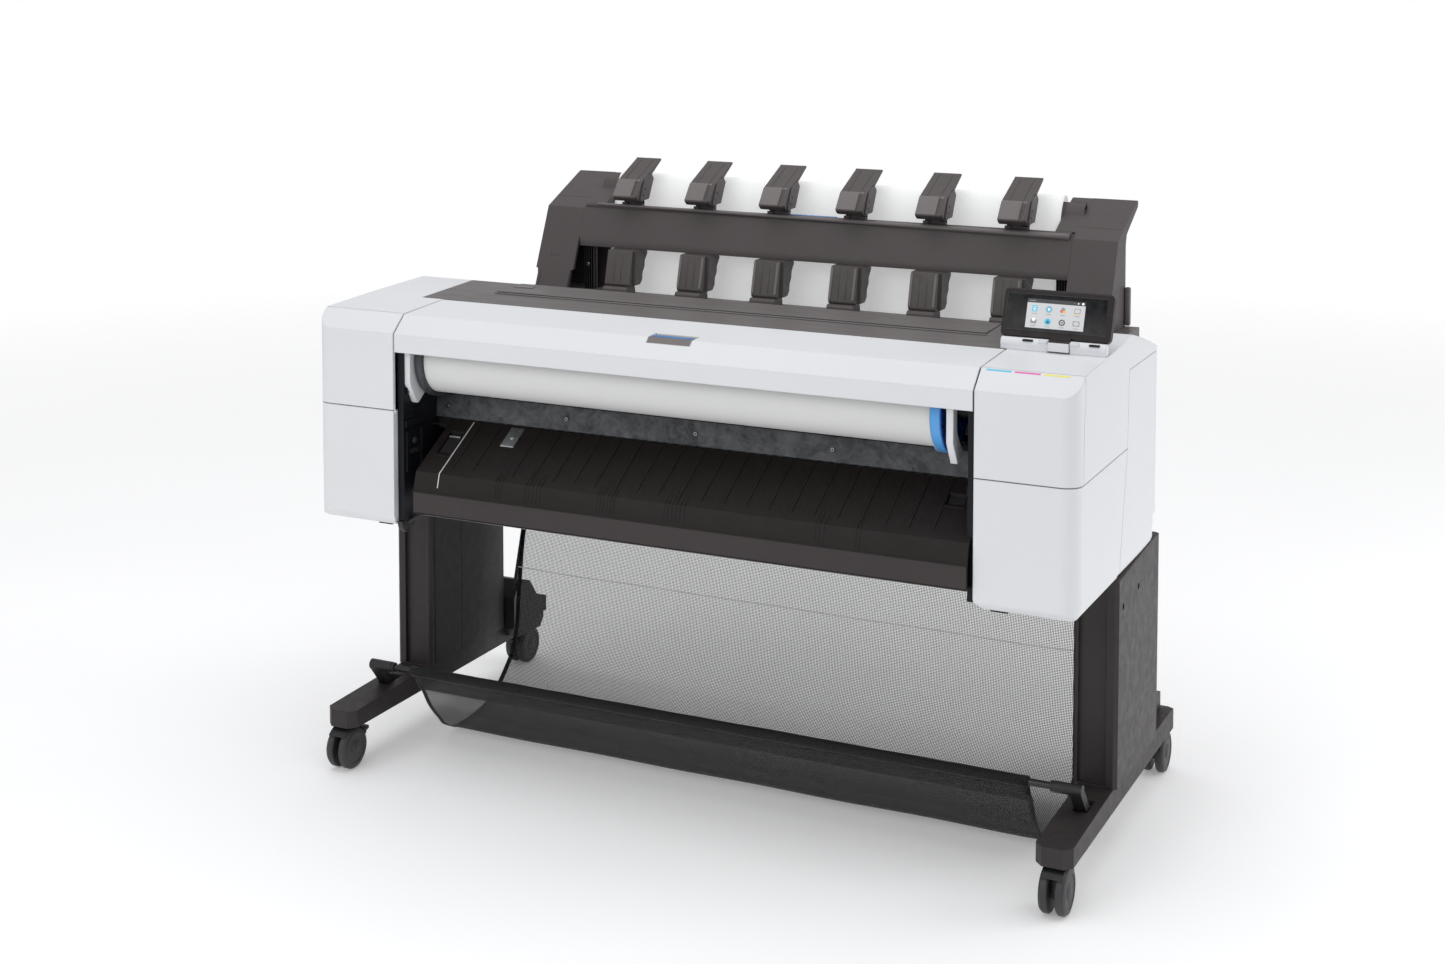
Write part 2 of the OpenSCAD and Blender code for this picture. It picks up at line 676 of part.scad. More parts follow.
module tilted() translate([0, panel_y, panel_z]) rotate([-panel_tilt, 0, 0]) children();
panel_side = [[4.5, 12], [4.5, 88], [7, panel_top], [12, panel_top], [18, 84],
  [18, 22], [12, panel_bottom], [6.5, panel_bottom]];
module panel_housing() place() color(black) tilted() difference() {
  union() {
    difference() {
      prism_x(panel_x0, panel_x1, panel_side);
      // rounded corners; each entry is [edge, direction inwards]
      for (x = [[panel_x0, 1], [panel_x1, -1]], z = [[panel_top, -1], [panel_bottom, 1]])
        translate([x[0], -20, z[0]]) scale([x[1], 1, z[1]]) difference() {
          box([-1, 0, -1], [9, 50, 9]);
          cyl_y(-1, 51, 9, 9, 9);
        }
    }
    cyl_x(598, 632, 0, 0, 8.5);
    box([598, -2, 0], [632, 12, 14]);
  }
  cyl_x(597, 633, 0, 0, 3.05);
  box([pocket_low[0], 3, pocket_low[1]], [pocket_high[0], 7, pocket_high[1]]);
}
module panel_glass() place() color(glass_black) tilted()
  box([pocket_low[0] + glass_gap, 4.2, pocket_low[1] + glass_gap],
    [pocket_high[0] - glass_gap, 7, pocket_high[1] - glass_gap]);

// ---- stacker ----
half_paddle = paddle_w/2;
paddle_x = [for (i = [-2.5:1:2.5]) i*paddle_pitch];

bracket_side = [[575, 796], [645, 957.5], [770, 1012], [780, 1015.5], [785, 1012],
  [782, 1003], [704, 962], [698, 944], [700, 796]];
bracket_inner = [[582, 790], [649, 952.5], [770, 1005.5], [774, 1003.5], [700, 964],
  [693, 945], [695, 790]];
// one bracket at each end, hollow towards the middle
module stacker_brackets() place() color(dark) both_sides() difference() {
  prism_x(500, 584, bracket_side);
  prism_x(499, 580, bracket_inner);
  // vertical slots at the foot and a small shallow recess in front
  box([498, 570, 790], [505, 620, 838]);
  box([578, 570, 790], [586, 600, 838]);
  prism_y(560, 606, [[536, 862], [536, 874], [556, 874], [556, 862]]);
}

beam_side = [[621.5, 904], [644.5, 957], [650, 962.5], [664, 962.5], [672, 950],
  [664, 884], [622, 884]];
module stacker_beam() place() color(dark) {
  prism_x(-500, 500, beam_side);
  // raised lip along the top edge
  cyl_x(-497, 497, 650, 963, 5);
}

paddle_side = [[618, 985.5], [617, 989], [640, 1017.5], [719, 1052.5], [723, 1055],
  [725, 1052], [668, 1019], [666, 1000], [664, 984], [655.2, 980], [640, 976.5],
  [626, 979]];
paddle_cheek = [[632, 979], [650, 1021], [676, 1030], [686, 1018], [664, 981]];
module stacker_paddles() place() color(dark) for (x = paddle_x) difference() {
  union() {
    prism_x(x - half_paddle, x + half_paddle, paddle_side);
    prism_x(x + half_paddle - 4, x + half_paddle, paddle_cheek);
    box([x - 20, 655.2, 962.5], [x + 20, 663.5, 990]);
  }
  // two small holes in the right side, as [y, z]
  for (hole = [[641, 990], [648, 1002]])
    cyl_x(x + half_paddle - 5, x + half_paddle + 1, hole[0], hole[1], 1.6);
  // two long grooves in the flap
  for (groove_x = [-14, 12]) translate([x + groove_x, 640, 1017.5])
    rotate([23.9, 0, 0]) box([0, 4, -0.8], [1.6, 82, 3]);
}

arm_side = [[583, 817], [582, 821], [598, 882], [600, 884], [664, 884],
  [648, 876], [630, 850], [616, 815], [586, 815]];
arm_cheek = [[598, 815], [606, 884], [652, 884], [654, 874], [642, 860],
  [641, 848], [633, 838], [631, 824], [622, 815]];
arm_foot = [[569, 796], [571, 811], [575, 815], [606, 815], [610, 811], [612, 796]];
module stacker_arms() place() color(dark) for (x = paddle_x) {
  prism_x(x - half_paddle, x + half_paddle, arm_side);
  prism_x(x + half_paddle - 0.5, x + half_paddle + 3, arm_cheek);
  prism_x(x - 26, x + 26, arm_foot);
}

// [y, z] along the middle of the sheet, from its lower end over the deck
sheet_line = [[664, 700], [668, 800], [680, 850], [690, 900], [697, 950], [706, 988],
  [717, 1009], [727, 1020], [737, 1023.5], [747, 1020], [754, 1008], [757, 990],
  [757.5, 960], [756, 930]];
module print_sheet() place() color(sheet_white) prism_x(-461, 461, band(sheet_line, 1.2));

deck_line = [[682, 792], [694, 850], [702, 900], [708, 945], [716, 980], [727, 1002],
  [737, 1010], [744, 1004], [747, 990]];
module stacker_deck() place() color(dark) difference() {
  prism_x(-499.5, 499.5, band(deck_line, 3));
  box([-520, 660, 780], [520, 700, 796]);
}

foot_left();
foot_right();
leg_left();
leg_right();
leg_brace();
leg_screws();
basket_front_rod();
basket_rod_brackets();
basket_rear_frame();
basket_rear_brackets();
basket_fabric();
caster_fork_fl();
caster_fork_fr();
caster_fork_rl();
caster_fork_rr();
caster_wheels_fl();
caster_wheels_fr();
caster_wheels_rl();
caster_wheels_rr();
chassis_tray();
side_frames();
cabinet_left_lower();
cabinet_right_lower();
ink_door_left();
ink_door_right();
cabinet_left_top();
cabinet_right_top();
rear_side_covers();
ink_cartridges();
rear_housing();
main_board();
power_supply();
roll_cover();
cover_latch();
spindle();
hub_left();
hub_right();
paper_roll();
roll_deflector();
output_apron();
apron_clip();
print_platen();
feed_roller();
pinch_rollers();
top_window();
carriage();
carriage_rail();
drive_belt();
carriage_drive();
service_station();
panel_base();
panel_housing();
panel_glass();
stacker_brackets();
stacker_beam();
stacker_paddles();
stacker_arms();
stacker_deck();
print_sheet();
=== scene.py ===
import bpy, bmesh, math
import numpy as np
from mathutils import Vector, Matrix


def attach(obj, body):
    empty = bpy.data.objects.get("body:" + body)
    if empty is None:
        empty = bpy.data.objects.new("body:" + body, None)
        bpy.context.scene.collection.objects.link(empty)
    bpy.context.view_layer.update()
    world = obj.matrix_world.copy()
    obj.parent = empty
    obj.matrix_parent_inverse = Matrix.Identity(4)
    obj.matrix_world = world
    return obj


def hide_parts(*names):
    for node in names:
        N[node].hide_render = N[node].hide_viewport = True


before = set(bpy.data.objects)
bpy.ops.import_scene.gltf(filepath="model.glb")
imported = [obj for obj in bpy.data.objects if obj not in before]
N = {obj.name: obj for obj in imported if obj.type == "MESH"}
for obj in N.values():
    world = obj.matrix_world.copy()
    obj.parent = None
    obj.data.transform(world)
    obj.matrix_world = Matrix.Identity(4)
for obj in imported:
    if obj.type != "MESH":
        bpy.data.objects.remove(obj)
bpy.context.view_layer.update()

D = 387.5          # layout coordinates: millimetres, Y from the front faces of the cabinets


def P(x, y, z):
    return Vector((x / 1000, (y - D) / 1000, z / 1000))


def lin(h, k=1.0):
    h = h.lstrip('#')
    out = []
    for i in (0, 2, 4):
        c = int(h[i:i + 2], 16) / 255
        c = c / 12.92 if c <= 0.04045 else ((c + 0.055) / 1.055) ** 2.4
        out.append(min(1.0, c * k))
    return (*out, 1.0)


# ------------------------------------------------------------------ materials
def new_mat(name):
    m = bpy.data.materials.new(name)
    m.use_nodes = True
    nt = m.node_tree
    for n in list(nt.nodes):
        nt.nodes.remove(n)
    out = nt.nodes.new("ShaderNodeOutputMaterial")
    b = nt.nodes.new("ShaderNodeBsdfPrincipled")
    nt.links.new(b.outputs[0], out.inputs[0])
    return m, nt, b, out


def node(nt, kind, **kw):
    n = nt.nodes.new(kind)
    for k, v in kw.items():
        if k.startswith("i_"):
            n.inputs[k[2:].replace("_", " ")].default_value = v
        else:
            setattr(n, k, v)
    return n


def coords(nt, scale=(1, 1, 1)):
    tc = node(nt, "ShaderNodeTexCoord")
    mp = node(nt, "ShaderNodeMapping")
    mp.inputs["Scale"].default_value = scale
    nt.links.new(tc.outputs["Object"], mp.inputs[0])
    return mp.outputs[0]


def noise(nt, vec, scale, detail=3.0, rough=0.55, dist=0.0):
    n = node(nt, "ShaderNodeTexNoise")
    n.inputs["Scale"].default_value = scale
    n.inputs["Detail"].default_value = detail
    n.inputs["Roughness"].default_value = rough
    n.inputs["Distortion"].default_value = dist
    nt.links.new(vec, n.inputs["Vector"])
    return n.outputs[0]


def remap(nt, v, a, b, c, d):
    r = node(nt, "ShaderNodeMapRange")
    r.inputs[1].default_value = a
    r.inputs[2].default_value = b
    r.inputs[3].default_value = c
    r.inputs[4].default_value = d
    nt.links.new(v, r.inputs[0])
    return r.outputs[0]


def mixc(nt, fac, a, b):
    m = node(nt, "ShaderNodeMix", data_type="RGBA")
    for s, v in ((6, a), (7, b)):
        if isinstance(v, tuple):
            m.inputs[s].default_value = v
        else:
            nt.links.new(v, m.inputs[s])
    if isinstance(fac, float):
        m.inputs[0].default_value = fac
    else:
        nt.links.new(fac, m.inputs[0])
    return m.outputs[2]


def mth(nt, op, a, b=None, c=None):
    m = node(nt, "ShaderNodeMath", operation=op)
    for i, v in enumerate((a, b, c)):
        if v is None:
            continue
        if isinstance(v, (int, float)):
            m.inputs[i].default_value = v
        else:
            nt.links.new(v, m.inputs[i])
    return m.outputs[0]


def plastic(name, col, rough=0.42, var=0.05, grain=1400, bump=0.06, edge=None, edge_w=0.0012,
            spec=0.5, metal=0.0, stretch=(1, 1, 1), dust=0.0, coat=0.0, streak=None):
    """Moulded plastic or paint: broad tone variation, fine moulded grain, softened edges painted lighter, partly a
    painted highlight and partly slight wear.
    """
    m, nt, b, out = new_mat(name)
    vec = coords(nt, stretch)
    broad = noise(nt, vec, 3.5, 3.0)
    fine = noise(nt, vec, grain, 2.0, 0.6)
    base = mixc(nt, remap(nt, broad, 0.3, 0.7, 0.0, 1.0), tuple([c * (1 - var) for c in col[:3]] + [1]),
                tuple([min(1, c * (1 + var)) for c in col[:3]] + [1]))
    if streak:
        sv = coords(nt, streak)
        st = noise(nt, sv, 60, 2.0)
        base = mixc(nt, remap(nt, st, 0.35, 0.75, 0.0, 0.35), base, tuple([min(1, c * 1.35) for c in col[:3]] + [1]))
    bev = node(nt, "ShaderNodeBevel", samples=3)
    bev.inputs[0].default_value = edge_w
    # edges get a lighter colour through the bevel mask: painted edge highlight, broken up by noise for slight wear
    if edge is not None:
        geo = node(nt, "ShaderNodeNewGeometry")
        dot = node(nt, "ShaderNodeVectorMath", operation="DOT_PRODUCT")
        nt.links.new(geo.outputs["Normal"], dot.inputs[0])
        nt.links.new(bev.outputs[0], dot.inputs[1])
        mask = remap(nt, dot.outputs["Value"], 0.998, 0.85, 0.0, 1.0)
        edge_highlight_and_wear = mth(nt, "MULTIPLY", mask, remap(nt, noise(nt, vec, 45, 4.0), 0.35, 0.7, 0.35, 1.0))
        base = mixc(nt, edge_highlight_and_wear, base, edge)
    if dust > 0:
        geo2 = node(nt, "ShaderNodeNewGeometry")
        sx = node(nt, "ShaderNodeSeparateXYZ")
        nt.links.new(geo2.outputs["Normal"], sx.inputs[0])
        up = remap(nt, sx.outputs[2], 0.4, 1.0, 0.0, dust)
        base = mixc(nt, mth(nt, "MULTIPLY", up, remap(nt, noise(nt, vec, 14, 5.0), 0.3, 0.8, 0.3, 1.0)), base, (0.55, 0.53, 0.5, 1))
    nt.links.new(base, b.inputs["Base Color"])
    rr = noise(nt, vec, 60, 3.0)
    nt.links.new(remap(nt, rr, 0.3, 0.7, max(0.02, rough - 0.06), rough + 0.06), b.inputs["Roughness"])
    b.inputs["Metallic"].default_value = metal
    b.inputs["Specular IOR Level"].default_value = spec
    b.inputs["Coat Weight"].default_value = coat
    bp = node(nt, "ShaderNodeBump")
    bp.inputs["Strength"].default_value = bump
    bp.inputs["Distance"].default_value = 0.0002
    nt.links.new(fine, bp.inputs["Height"])
    nt.links.new(bev.outputs[0], bp.inputs["Normal"])
    nt.links.new(bp.outputs[0], b.inputs["Normal"])
    return m


def flat_light(name, col, strength=0.0, rough=0.3):
    """Printed or backlit graphic with a faint pixel grid."""
    m, nt, b, out = new_mat(name)
    v = coords(nt)
    ch = node(nt, "ShaderNodeTexChecker")
    ch.inputs["Scale"].default_value = 3000
    nt.links.new(v, ch.inputs[0])
    base = mixc(nt, mth(nt, "MULTIPLY", ch.outputs[1], 0.08), col, tuple([c * 0.85 for c in col[:3]] + [1]))
    nt.links.new(base, b.inputs["Base Color"])
    b.inputs["Roughness"].default_value = rough
    if strength:
        nt.links.new(base, b.inputs["Emission Color"])
        b.inputs["Emission Strength"].default_value = strength
    return m


M = {}
M["white"] = plastic("white_plastic", (0.80, 0.812, 0.835, 1), rough=0.42, var=0.010, grain=1100, bump=0.05, edge=(0.90, 0.91, 0.93, 1), edge_w=0.0025)
M["white_door"] = plastic("white_door_plastic", (0.795, 0.807, 0.832, 1), rough=0.42, var=0.010, grain=1100, bump=0.05, edge=(0.90, 0.91, 0.93, 1), edge_w=0.0025)
M["cream"] = plastic("cream_arm_plastic", (0.74, 0.73, 0.70, 1), rough=0.42, var=0.02, edge=(0.86, 0.86, 0.84, 1))
M["brown"] = plastic("brown_plastic", (0.080, 0.068, 0.068, 1), rough=0.46, var=0.06, grain=900, bump=0.14, edge=(0.17, 0.15, 0.148, 1), edge_w=0.0012, spec=0.36)
# lighter copy of the brown for the top frame, window and rear housing: painted sheen
M["brown_top"] = plastic("brown_top_painted_sheen_plastic", (0.128, 0.113, 0.112, 1), rough=0.40, var=0.05, grain=700, bump=0.16, edge=(0.27, 0.25, 0.248, 1), stretch=(0.25, 1, 1), edge_w=0.0012, spec=0.45)
M["paddle"] = plastic("paddle_plastic", (0.086, 0.074, 0.073, 1), rough=0.46, var=0.05, grain=800, bump=0.12, edge=(0.20, 0.18, 0.178, 1), edge_w=0.0012, spec=0.36)
# lighter brown of the paddle bases; the same colour is the painted highlight on the arm edge strips, the beam lip and
# the lid patch
M["paddle_base"] = plastic("paddle_base_plastic", (0.175, 0.157, 0.156, 1), rough=0.42, var=0.05, grain=800, bump=0.12, edge=(0.30, 0.28, 0.275, 1), edge_w=0.0012, spec=0.38)
M["stand"] = plastic("stand_paint", (0.030, 0.0245, 0.0245, 1), rough=0.46, var=0.10, grain=600, bump=0.22, edge=(0.048, 0.041, 0.040, 1), edge_w=0.0016, spec=0.34)
M["foot"] = plastic("foot_plastic", (0.032, 0.026, 0.026, 1), rough=0.50, var=0.10, grain=450, bump=0.30, edge=(0.070, 0.060, 0.058, 1), edge_w=0.0025, spec=0.34)
# very dark apron brown: painted shade from the roll cover over the slope
M["apron"] = plastic("apron_plastic", (0.014, 0.0095, 0.0095, 1), rough=0.52, var=0.10, grain=700, bump=0.12, edge=(0.055, 0.045, 0.044, 1), edge_w=0.0008, spec=0.26)
# lighter copy of the apron brown for the front strip: painted light on the lit face
M["apron_front"] = plastic("apron_front_plastic", (0.046, 0.038, 0.038, 1), rough=0.50, var=0.06, grain=700, bump=0.10, edge=(0.08, 0.07, 0.069, 1), edge_w=0.0008, spec=0.3)
M["apron_mark"] = plastic("apron_mark_plastic", (0.022, 0.017, 0.017, 1), rough=0.50, var=0.08, grain=700, bump=0.10, spec=0.3)
M["black"] = plastic("black_plastic", (0.012, 0.0122, 0.0135, 1), rough=0.48, var=0.12, grain=900, bump=0.15, edge=(0.06, 0.062, 0.066, 1))
M["navy"] = plastic("cheek_plastic", (0.0085, 0.0092, 0.012, 1), rough=0.40, var=0.12, grain=900, bump=0.10, edge=(0.018, 0.019, 0.023, 1), spec=0.22)
M["rod"] = plastic("rod_paint", (0.014, 0.014, 0.014, 1), rough=0.28, var=0.10, grain=1300, bump=0.05, edge=(0.05, 0.05, 0.05, 1))
M["wheel"] = plastic("wheel_plastic", (0.034, 0.034, 0.036, 1), rough=0.50, var=0.14, grain=420, bump=0.25, edge=(0.09, 0.09, 0.092, 1), edge_w=0.0015, dust=0.04)
M["grey"] = plastic("dark_grey_plastic", (0.055, 0.056, 0.060, 1), rough=0.45, var=0.08, edge=(0.12, 0.12, 0.125, 1))
M["hubg"] = plastic("hub_grey_plastic", (0.050, 0.052, 0.058, 1), rough=0.38, var=0.08, edge=(0.12, 0.125, 0.13, 1))
M["hubb"] = plastic("hub_blue_plastic", (0.006, 0.062, 0.34, 1), rough=0.30, var=0.05, edge=(0.05, 0.20, 0.60, 1), edge_w=0.0012)
M["hubring"] = plastic("hub_ring_plastic", (0.105, 0.40, 0.86, 1), rough=0.34, var=0.04, edge=(0.20, 0.52, 0.92, 1), edge_w=0.0012)
M["blue"] = plastic("latch_blue_plastic", (0.05, 0.25, 0.66, 1), rough=0.32, var=0.05, edge=(0.22, 0.46, 0.85, 1))
M["latch"] = plastic("latch_plastic", (0.16, 0.145, 0.14, 1), rough=0.36, var=0.05, edge=(0.34, 0.32, 0.31, 1))
M["steel"] = plastic("plated_steel", (0.56, 0.57, 0.58, 1), rough=0.30, var=0.05, grain=500, bump=0.10, metal=1.0, stretch=(1, 0.04, 1), edge=(0.75, 0.75, 0.76, 1))
M["rail"] = plastic("ground_rail_steel", (0.60, 0.61, 0.63, 1), rough=0.20, var=0.04, grain=900, bump=0.06, metal=1.0, stretch=(0.03, 1, 1))
M["screw"] = plastic("screw_steel", (0.30, 0.31, 0.33, 1), rough=0.28, var=0.10, metal=1.0, bump=0.08)
M["board"] = plastic("board_green", (0.018, 0.085, 0.035, 1), rough=0.32, var=0.18, grain=300, bump=0.2)
M["chip"] = plastic("chip_black", (0.012, 0.012, 0.013, 1), rough=0.35, var=0.1)
M["ink"] = plastic("ink_cartridge_black", (0.018, 0.018, 0.021, 1), rough=0.32, var=0.08, edge=(0.07, 0.07, 0.075, 1))
M["rubber"] = plastic("roller_rubber", (0.022, 0.022, 0.023, 1), rough=0.72, var=0.12, grain=500, bump=0.5)
M["glass"] = plastic("screen_glass", (0.004, 0.0045, 0.0055, 1), rough=0.10, var=0.05, bump=0.0, spec=0.2, edge=(0.10, 0.10, 0.11, 1), edge_w=0.0006)
M["bezel"] = plastic("bezel_plastic", (0.016, 0.0105, 0.0105, 1), rough=0.40, var=0.06, grain=1000, bump=0.10, edge=(0.05, 0.038, 0.037, 1), edge_w=0.0018, spec=0.28)
M["gap"] = plastic("shadow_gap", (0.010, 0.010, 0.012, 1), rough=0.8, var=0.1)
M["cy"] = flat_light("stripe_cyan", (0.13, 0.62, 0.83, 1))
M["mg"] = flat_light("stripe_magenta", (0.83, 0.16, 0.48, 1))
M["ye"] = flat_light("stripe_yellow", (0.90, 0.83, 0.16, 1))
M["ui_bg"] = flat_light("screen_page", (0.55, 0.56, 0.57, 1), 0.30)
M["ui_bar"] = flat_light("screen_bar", (0.035, 0.036, 0.038, 1), 0.1)
M["ui_w"] = flat_light("screen_white", (0.85, 0.86, 0.88, 1), 0.5)
M["ui_k"] = flat_light("screen_dark", (0.05, 0.05, 0.055, 1), 0.02)
M["ui_c"] = flat_light("screen_cyan", (0.03, 0.42, 0.62, 1), 0.4)
M["ui_m"] = flat_light("screen_magenta", (0.62, 0.05, 0.22, 1), 0.35)
M["ui_y"] = flat_light("screen_yellow", (0.80, 0.45, 0.04, 1), 0.35)
M["ui_g"] = flat_light("screen_grey", (0.30, 0.31, 0.32, 1), 0.1)


def paper_mat(name, rings=False, tint=(0.83, 0.835, 0.83, 1)):
    m, nt, b, out = new_mat(name)
    v = coords(nt)
    n1 = noise(nt, v, 2.2, 4.0)
    n2 = noise(nt, v, 1500, 2.0)
    base = mixc(nt, remap(nt, n1, 0.3, 0.7, 0, 1), tuple([c * 0.985 for c in tint[:3]] + [1]), tint)
    base = mixc(nt, remap(nt, n2, 0.3, 0.8, 0, 0.05), base, (0.6, 0.6, 0.58, 1))
    if rings:
        sep = node(nt, "ShaderNodeSeparateXYZ")
        nt.links.new(v, sep.inputs[0])
        y = mth(nt, "SUBTRACT", sep.outputs[1], (95 - D) / 1000)
        z = mth(nt, "SUBTRACT", sep.outputs[2], 0.755)
        r = mth(nt, "SQRT", mth(nt, "ADD", mth(nt, "MULTIPLY", y, y), mth(nt, "MULTIPLY", z, z)))
        w = mth(nt, "SINE", mth(nt, "MULTIPLY", r, 5200.0))
        geo = node(nt, "ShaderNodeNewGeometry")
        sn = node(nt, "ShaderNodeSeparateXYZ")
        nt.links.new(geo.outputs["Normal"], sn.inputs[0])
        endf = remap(nt, mth(nt, "ABSOLUTE", sn.outputs[0]), 0.8, 0.98, 0.0, 1.0)
        base = mixc(nt, mth(nt, "MULTIPLY", endf, remap(nt, w, -1, 1, 0.0, 0.35)), base, (0.52, 0.51, 0.48, 1))
    nt.links.new(base, b.inputs["Base Color"])
    b.inputs["Roughness"].default_value = 0.62
    b.inputs["Specular IOR Level"].default_value = 0.3
    b.inputs["Subsurface Weight"].default_value = 0.03
    bp = node(nt, "ShaderNodeBump")
    bp.inputs["Strength"].default_value = 0.05
    bp.inputs["Distance"].default_value = 0.0001
    nt.links.new(n2, bp.inputs["Height"])
    nt.links.new(bp.outputs[0], b.inputs["Normal"])
    return m


M["paper"] = paper_mat("sheet_paper")


def translucent_with_painted_glow(m, share, painted_glow):
    nt = m.node_tree
    out = [n for n in nt.nodes if n.type == "OUTPUT_MATERIAL"][0]
    b = [n for n in nt.nodes if n.type == "BSDF_PRINCIPLED"][0]
    t = node(nt, "ShaderNodeBsdfTranslucent")
    t.inputs[0].default_value = (0.9, 0.9, 0.9, 1)
    mx = node(nt, "ShaderNodeMixShader")
    mx.inputs[0].default_value = share
    nt.links.new(b.outputs[0], mx.inputs[1])
    nt.links.new(t.outputs[0], mx.inputs[2])
    nt.links.new(mx.outputs[0], out.inputs[0])
    # emission makes the paper glow: painted light; the translucent share lets real light through from behind
    b.inputs["Emission Color"].default_value = (1, 1, 1, 1)
    b.inputs["Emission Strength"].default_value = painted_glow


# printed sheet: 30 % translucency and a painted glow
translucent_with_painted_glow(M["paper"], 0.30, 0.34)
M["roll"] = paper_mat("roll_paper", True, (0.80, 0.80, 0.79, 1))


def marble_mat():
    m, nt, b, out = new_mat("marbled_strip")
    v = coords(nt, (1, 1, 1))
    n1 = noise(nt, v, 16, 8.0, 0.62, 1.6)
    n2 = noise(nt, v, 70, 6.0, 0.7, 0.8)
    base = mixc(nt, remap(nt, n1, 0.35, 0.68, 0, 1), (0.014, 0.015, 0.018, 1), (0.105, 0.108, 0.116, 1))
    base = mixc(nt, remap(nt, n2, 0.45, 0.75, 0, 0.5), base, (0.16, 0.165, 0.175, 1))
    nt.links.new(base, b.inputs["Base Color"])
    b.inputs["Roughness"].default_value = 0.36
    bp = node(nt, "ShaderNodeBump")
    bp.inputs["Strength"].default_value = 0.25
    bp.inputs["Distance"].default_value = 0.0008
    nt.links.new(n1, bp.inputs["Height"])
    nt.links.new(bp.outputs[0], b.inputs["Normal"])
    return m


M["marble"] = marble_mat()


def mesh_fabric(name, open0=0.5, col=(0.010, 0.010, 0.0105, 1), pitch=0.0030):
    """Open knitted mesh: dark threads with see-through cells, denser at a glancing angle."""
    m, nt, b, out = new_mat(name)
    nt.nodes.remove(b)
    uv = node(nt, "ShaderNodeUVMap", uv_map="cloth")
    sep = node(nt, "ShaderNodeSeparateXYZ")
    nt.links.new(uv.outputs[0], sep.inputs[0])
    k = math.pi / pitch
    wx = mth(nt, "SINE", mth(nt, "MULTIPLY", sep.outputs[0], k))
    wy = mth(nt, "SINE", mth(nt, "MULTIPLY", sep.outputs[1], k * 1.1))
    cell = mth(nt, "MULTIPLY", mth(nt, "ABSOLUTE", wx), mth(nt, "ABSOLUTE", wy))      # 1 in the middle of a cell
    hole = remap(nt, cell, 0.10, 0.55, 0.0, 1.0)
    lw = node(nt, "ShaderNodeLayerWeight")
    lw.inputs[0].default_value = 0.5
    face = remap(nt, lw.outputs["Facing"], 0.15, 0.95, 1.0, 0.35)
    op = mth(nt, "MULTIPLY", remap(nt, hole, 0, 1, open0 * 0.45, min(1.0, open0 * 1.45)), face)
    dif = node(nt, "ShaderNodeBsdfPrincipled")
    obj = coords(nt)
    thread = mixc(nt, remap(nt, noise(nt, obj, 220, 3.0), 0.3, 0.7, 0.0, 1.0), tuple([c * 0.9 for c in col[:3]] + [1]), tuple([c * 1.1 for c in col[:3]] + [1]))
    nt.links.new(thread, dif.inputs["Base Color"])
    dif.inputs["Roughness"].default_value = 0.7
    dif.inputs["Specular IOR Level"].default_value = 0.2
    dif.inputs["Sheen Weight"].default_value = 0.06
    bp = node(nt, "ShaderNodeBump")
    bp.inputs["Strength"].default_value = 0.3
    bp.inputs["Distance"].default_value = 0.0004
    nt.links.new(cell, bp.inputs["Height"])
    nt.links.new(bp.outputs[0], dif.inputs["Normal"])
    tr = node(nt, "ShaderNodeBsdfTransparent")
    mx = node(nt, "ShaderNodeMixShader")
    nt.links.new(op, mx.inputs[0])
    nt.links.new(dif.outputs[0], mx.inputs[1])
    nt.links.new(tr.outputs[0], mx.inputs[2])
    nt.links.new(mx.outputs[0], out.inputs[0])
    return m


M["mesh"] = mesh_fabric("mesh_fabric", 0.64, (0.028, 0.028, 0.0285, 1))
M["hem"] = mesh_fabric("mesh_hem", 0.10, (0.014, 0.014, 0.014, 1))
M["band"] = mesh_fabric("mesh_band", 0.46, (0.022, 0.022, 0.022, 1))
# light seam tape with a small emission: painted glow
M["seam"] = flat_light("seam_tape_painted_glow", (0.62, 0.62, 0.62, 1), 0.25, 0.8)


# ------------------------------------------------------------------ CAD nodes: finish and softened edges
def dress(name, mat, bevel=0.6, seg=2, angle=32, smooth=True):
    o = N[name]
    o.data.materials.clear()
    o.data.materials.append(M[mat])
    for p in o.data.polygons:
        p.material_index = 0
    if "custom_normal" in o.data.attributes:
        o.data.attributes.remove(o.data.attributes["custom_normal"])
    w = o.modifiers.new("weld", "WELD")
    w.merge_threshold = 0.00002
    if bevel:
        b = o.modifiers.new("edge", "BEVEL")
        b.width = bevel / 1000
        b.segments = seg
        b.limit_method = "ANGLE"
        b.angle_limit = math.radians(angle)
        b.use_clamp_overlap = True
        b.harden_normals = False
        b.miter_outer = "MITER_ARC"
    if smooth:
        for p in o.data.polygons:
            p.use_smooth = True
        n = o.modifiers.new("wn", "WEIGHTED_NORMAL")
        n.keep_sharp = False
        n.weight = 80
    return o


for n_ in ("cabinet_left_lower", "cabinet_right_lower", "cabinet_left_top", "cabinet_right_top", "rear_side_covers", "panel_base"):
    dress(n_, "white", 1.0)
for n_ in ("ink_door_left", "ink_door_right", "roll_cover"):
    dress(n_, "white_door", 1.0)
for n_ in ("foot_left", "foot_right"):
    dress(n_, "foot", 3.0, 3)
for n_ in ("leg_left", "leg_right"):
    dress(n_, "stand", 1.5, 3)
dress("leg_brace", "stand", 1.0)
for n_ in ("leg_screws", "basket_front_rod", "basket_rear_frame"):
    dress(n_, "rod", 0.3)
for n_ in ("basket_rod_brackets", "basket_rear_brackets"):
    dress(n_, "black", 2.0, 3)
for c_ in ("fl", "fr", "rl", "rr"):
    dress("caster_fork_" + c_, "black", 0.8)
    dress("caster_wheels_" + c_, "wheel", 0.4)
dress("chassis_tray", "steel", 0.5)
dress("side_frames", "navy", 0.8)
dress("ink_cartridges", "ink", 1.5)
dress("rear_housing", "brown_top", 1.2)
dress("top_window", "brown_top", 0.8)
dress("main_board", "board", 0.0)
dress("power_supply", "steel", 0.5)
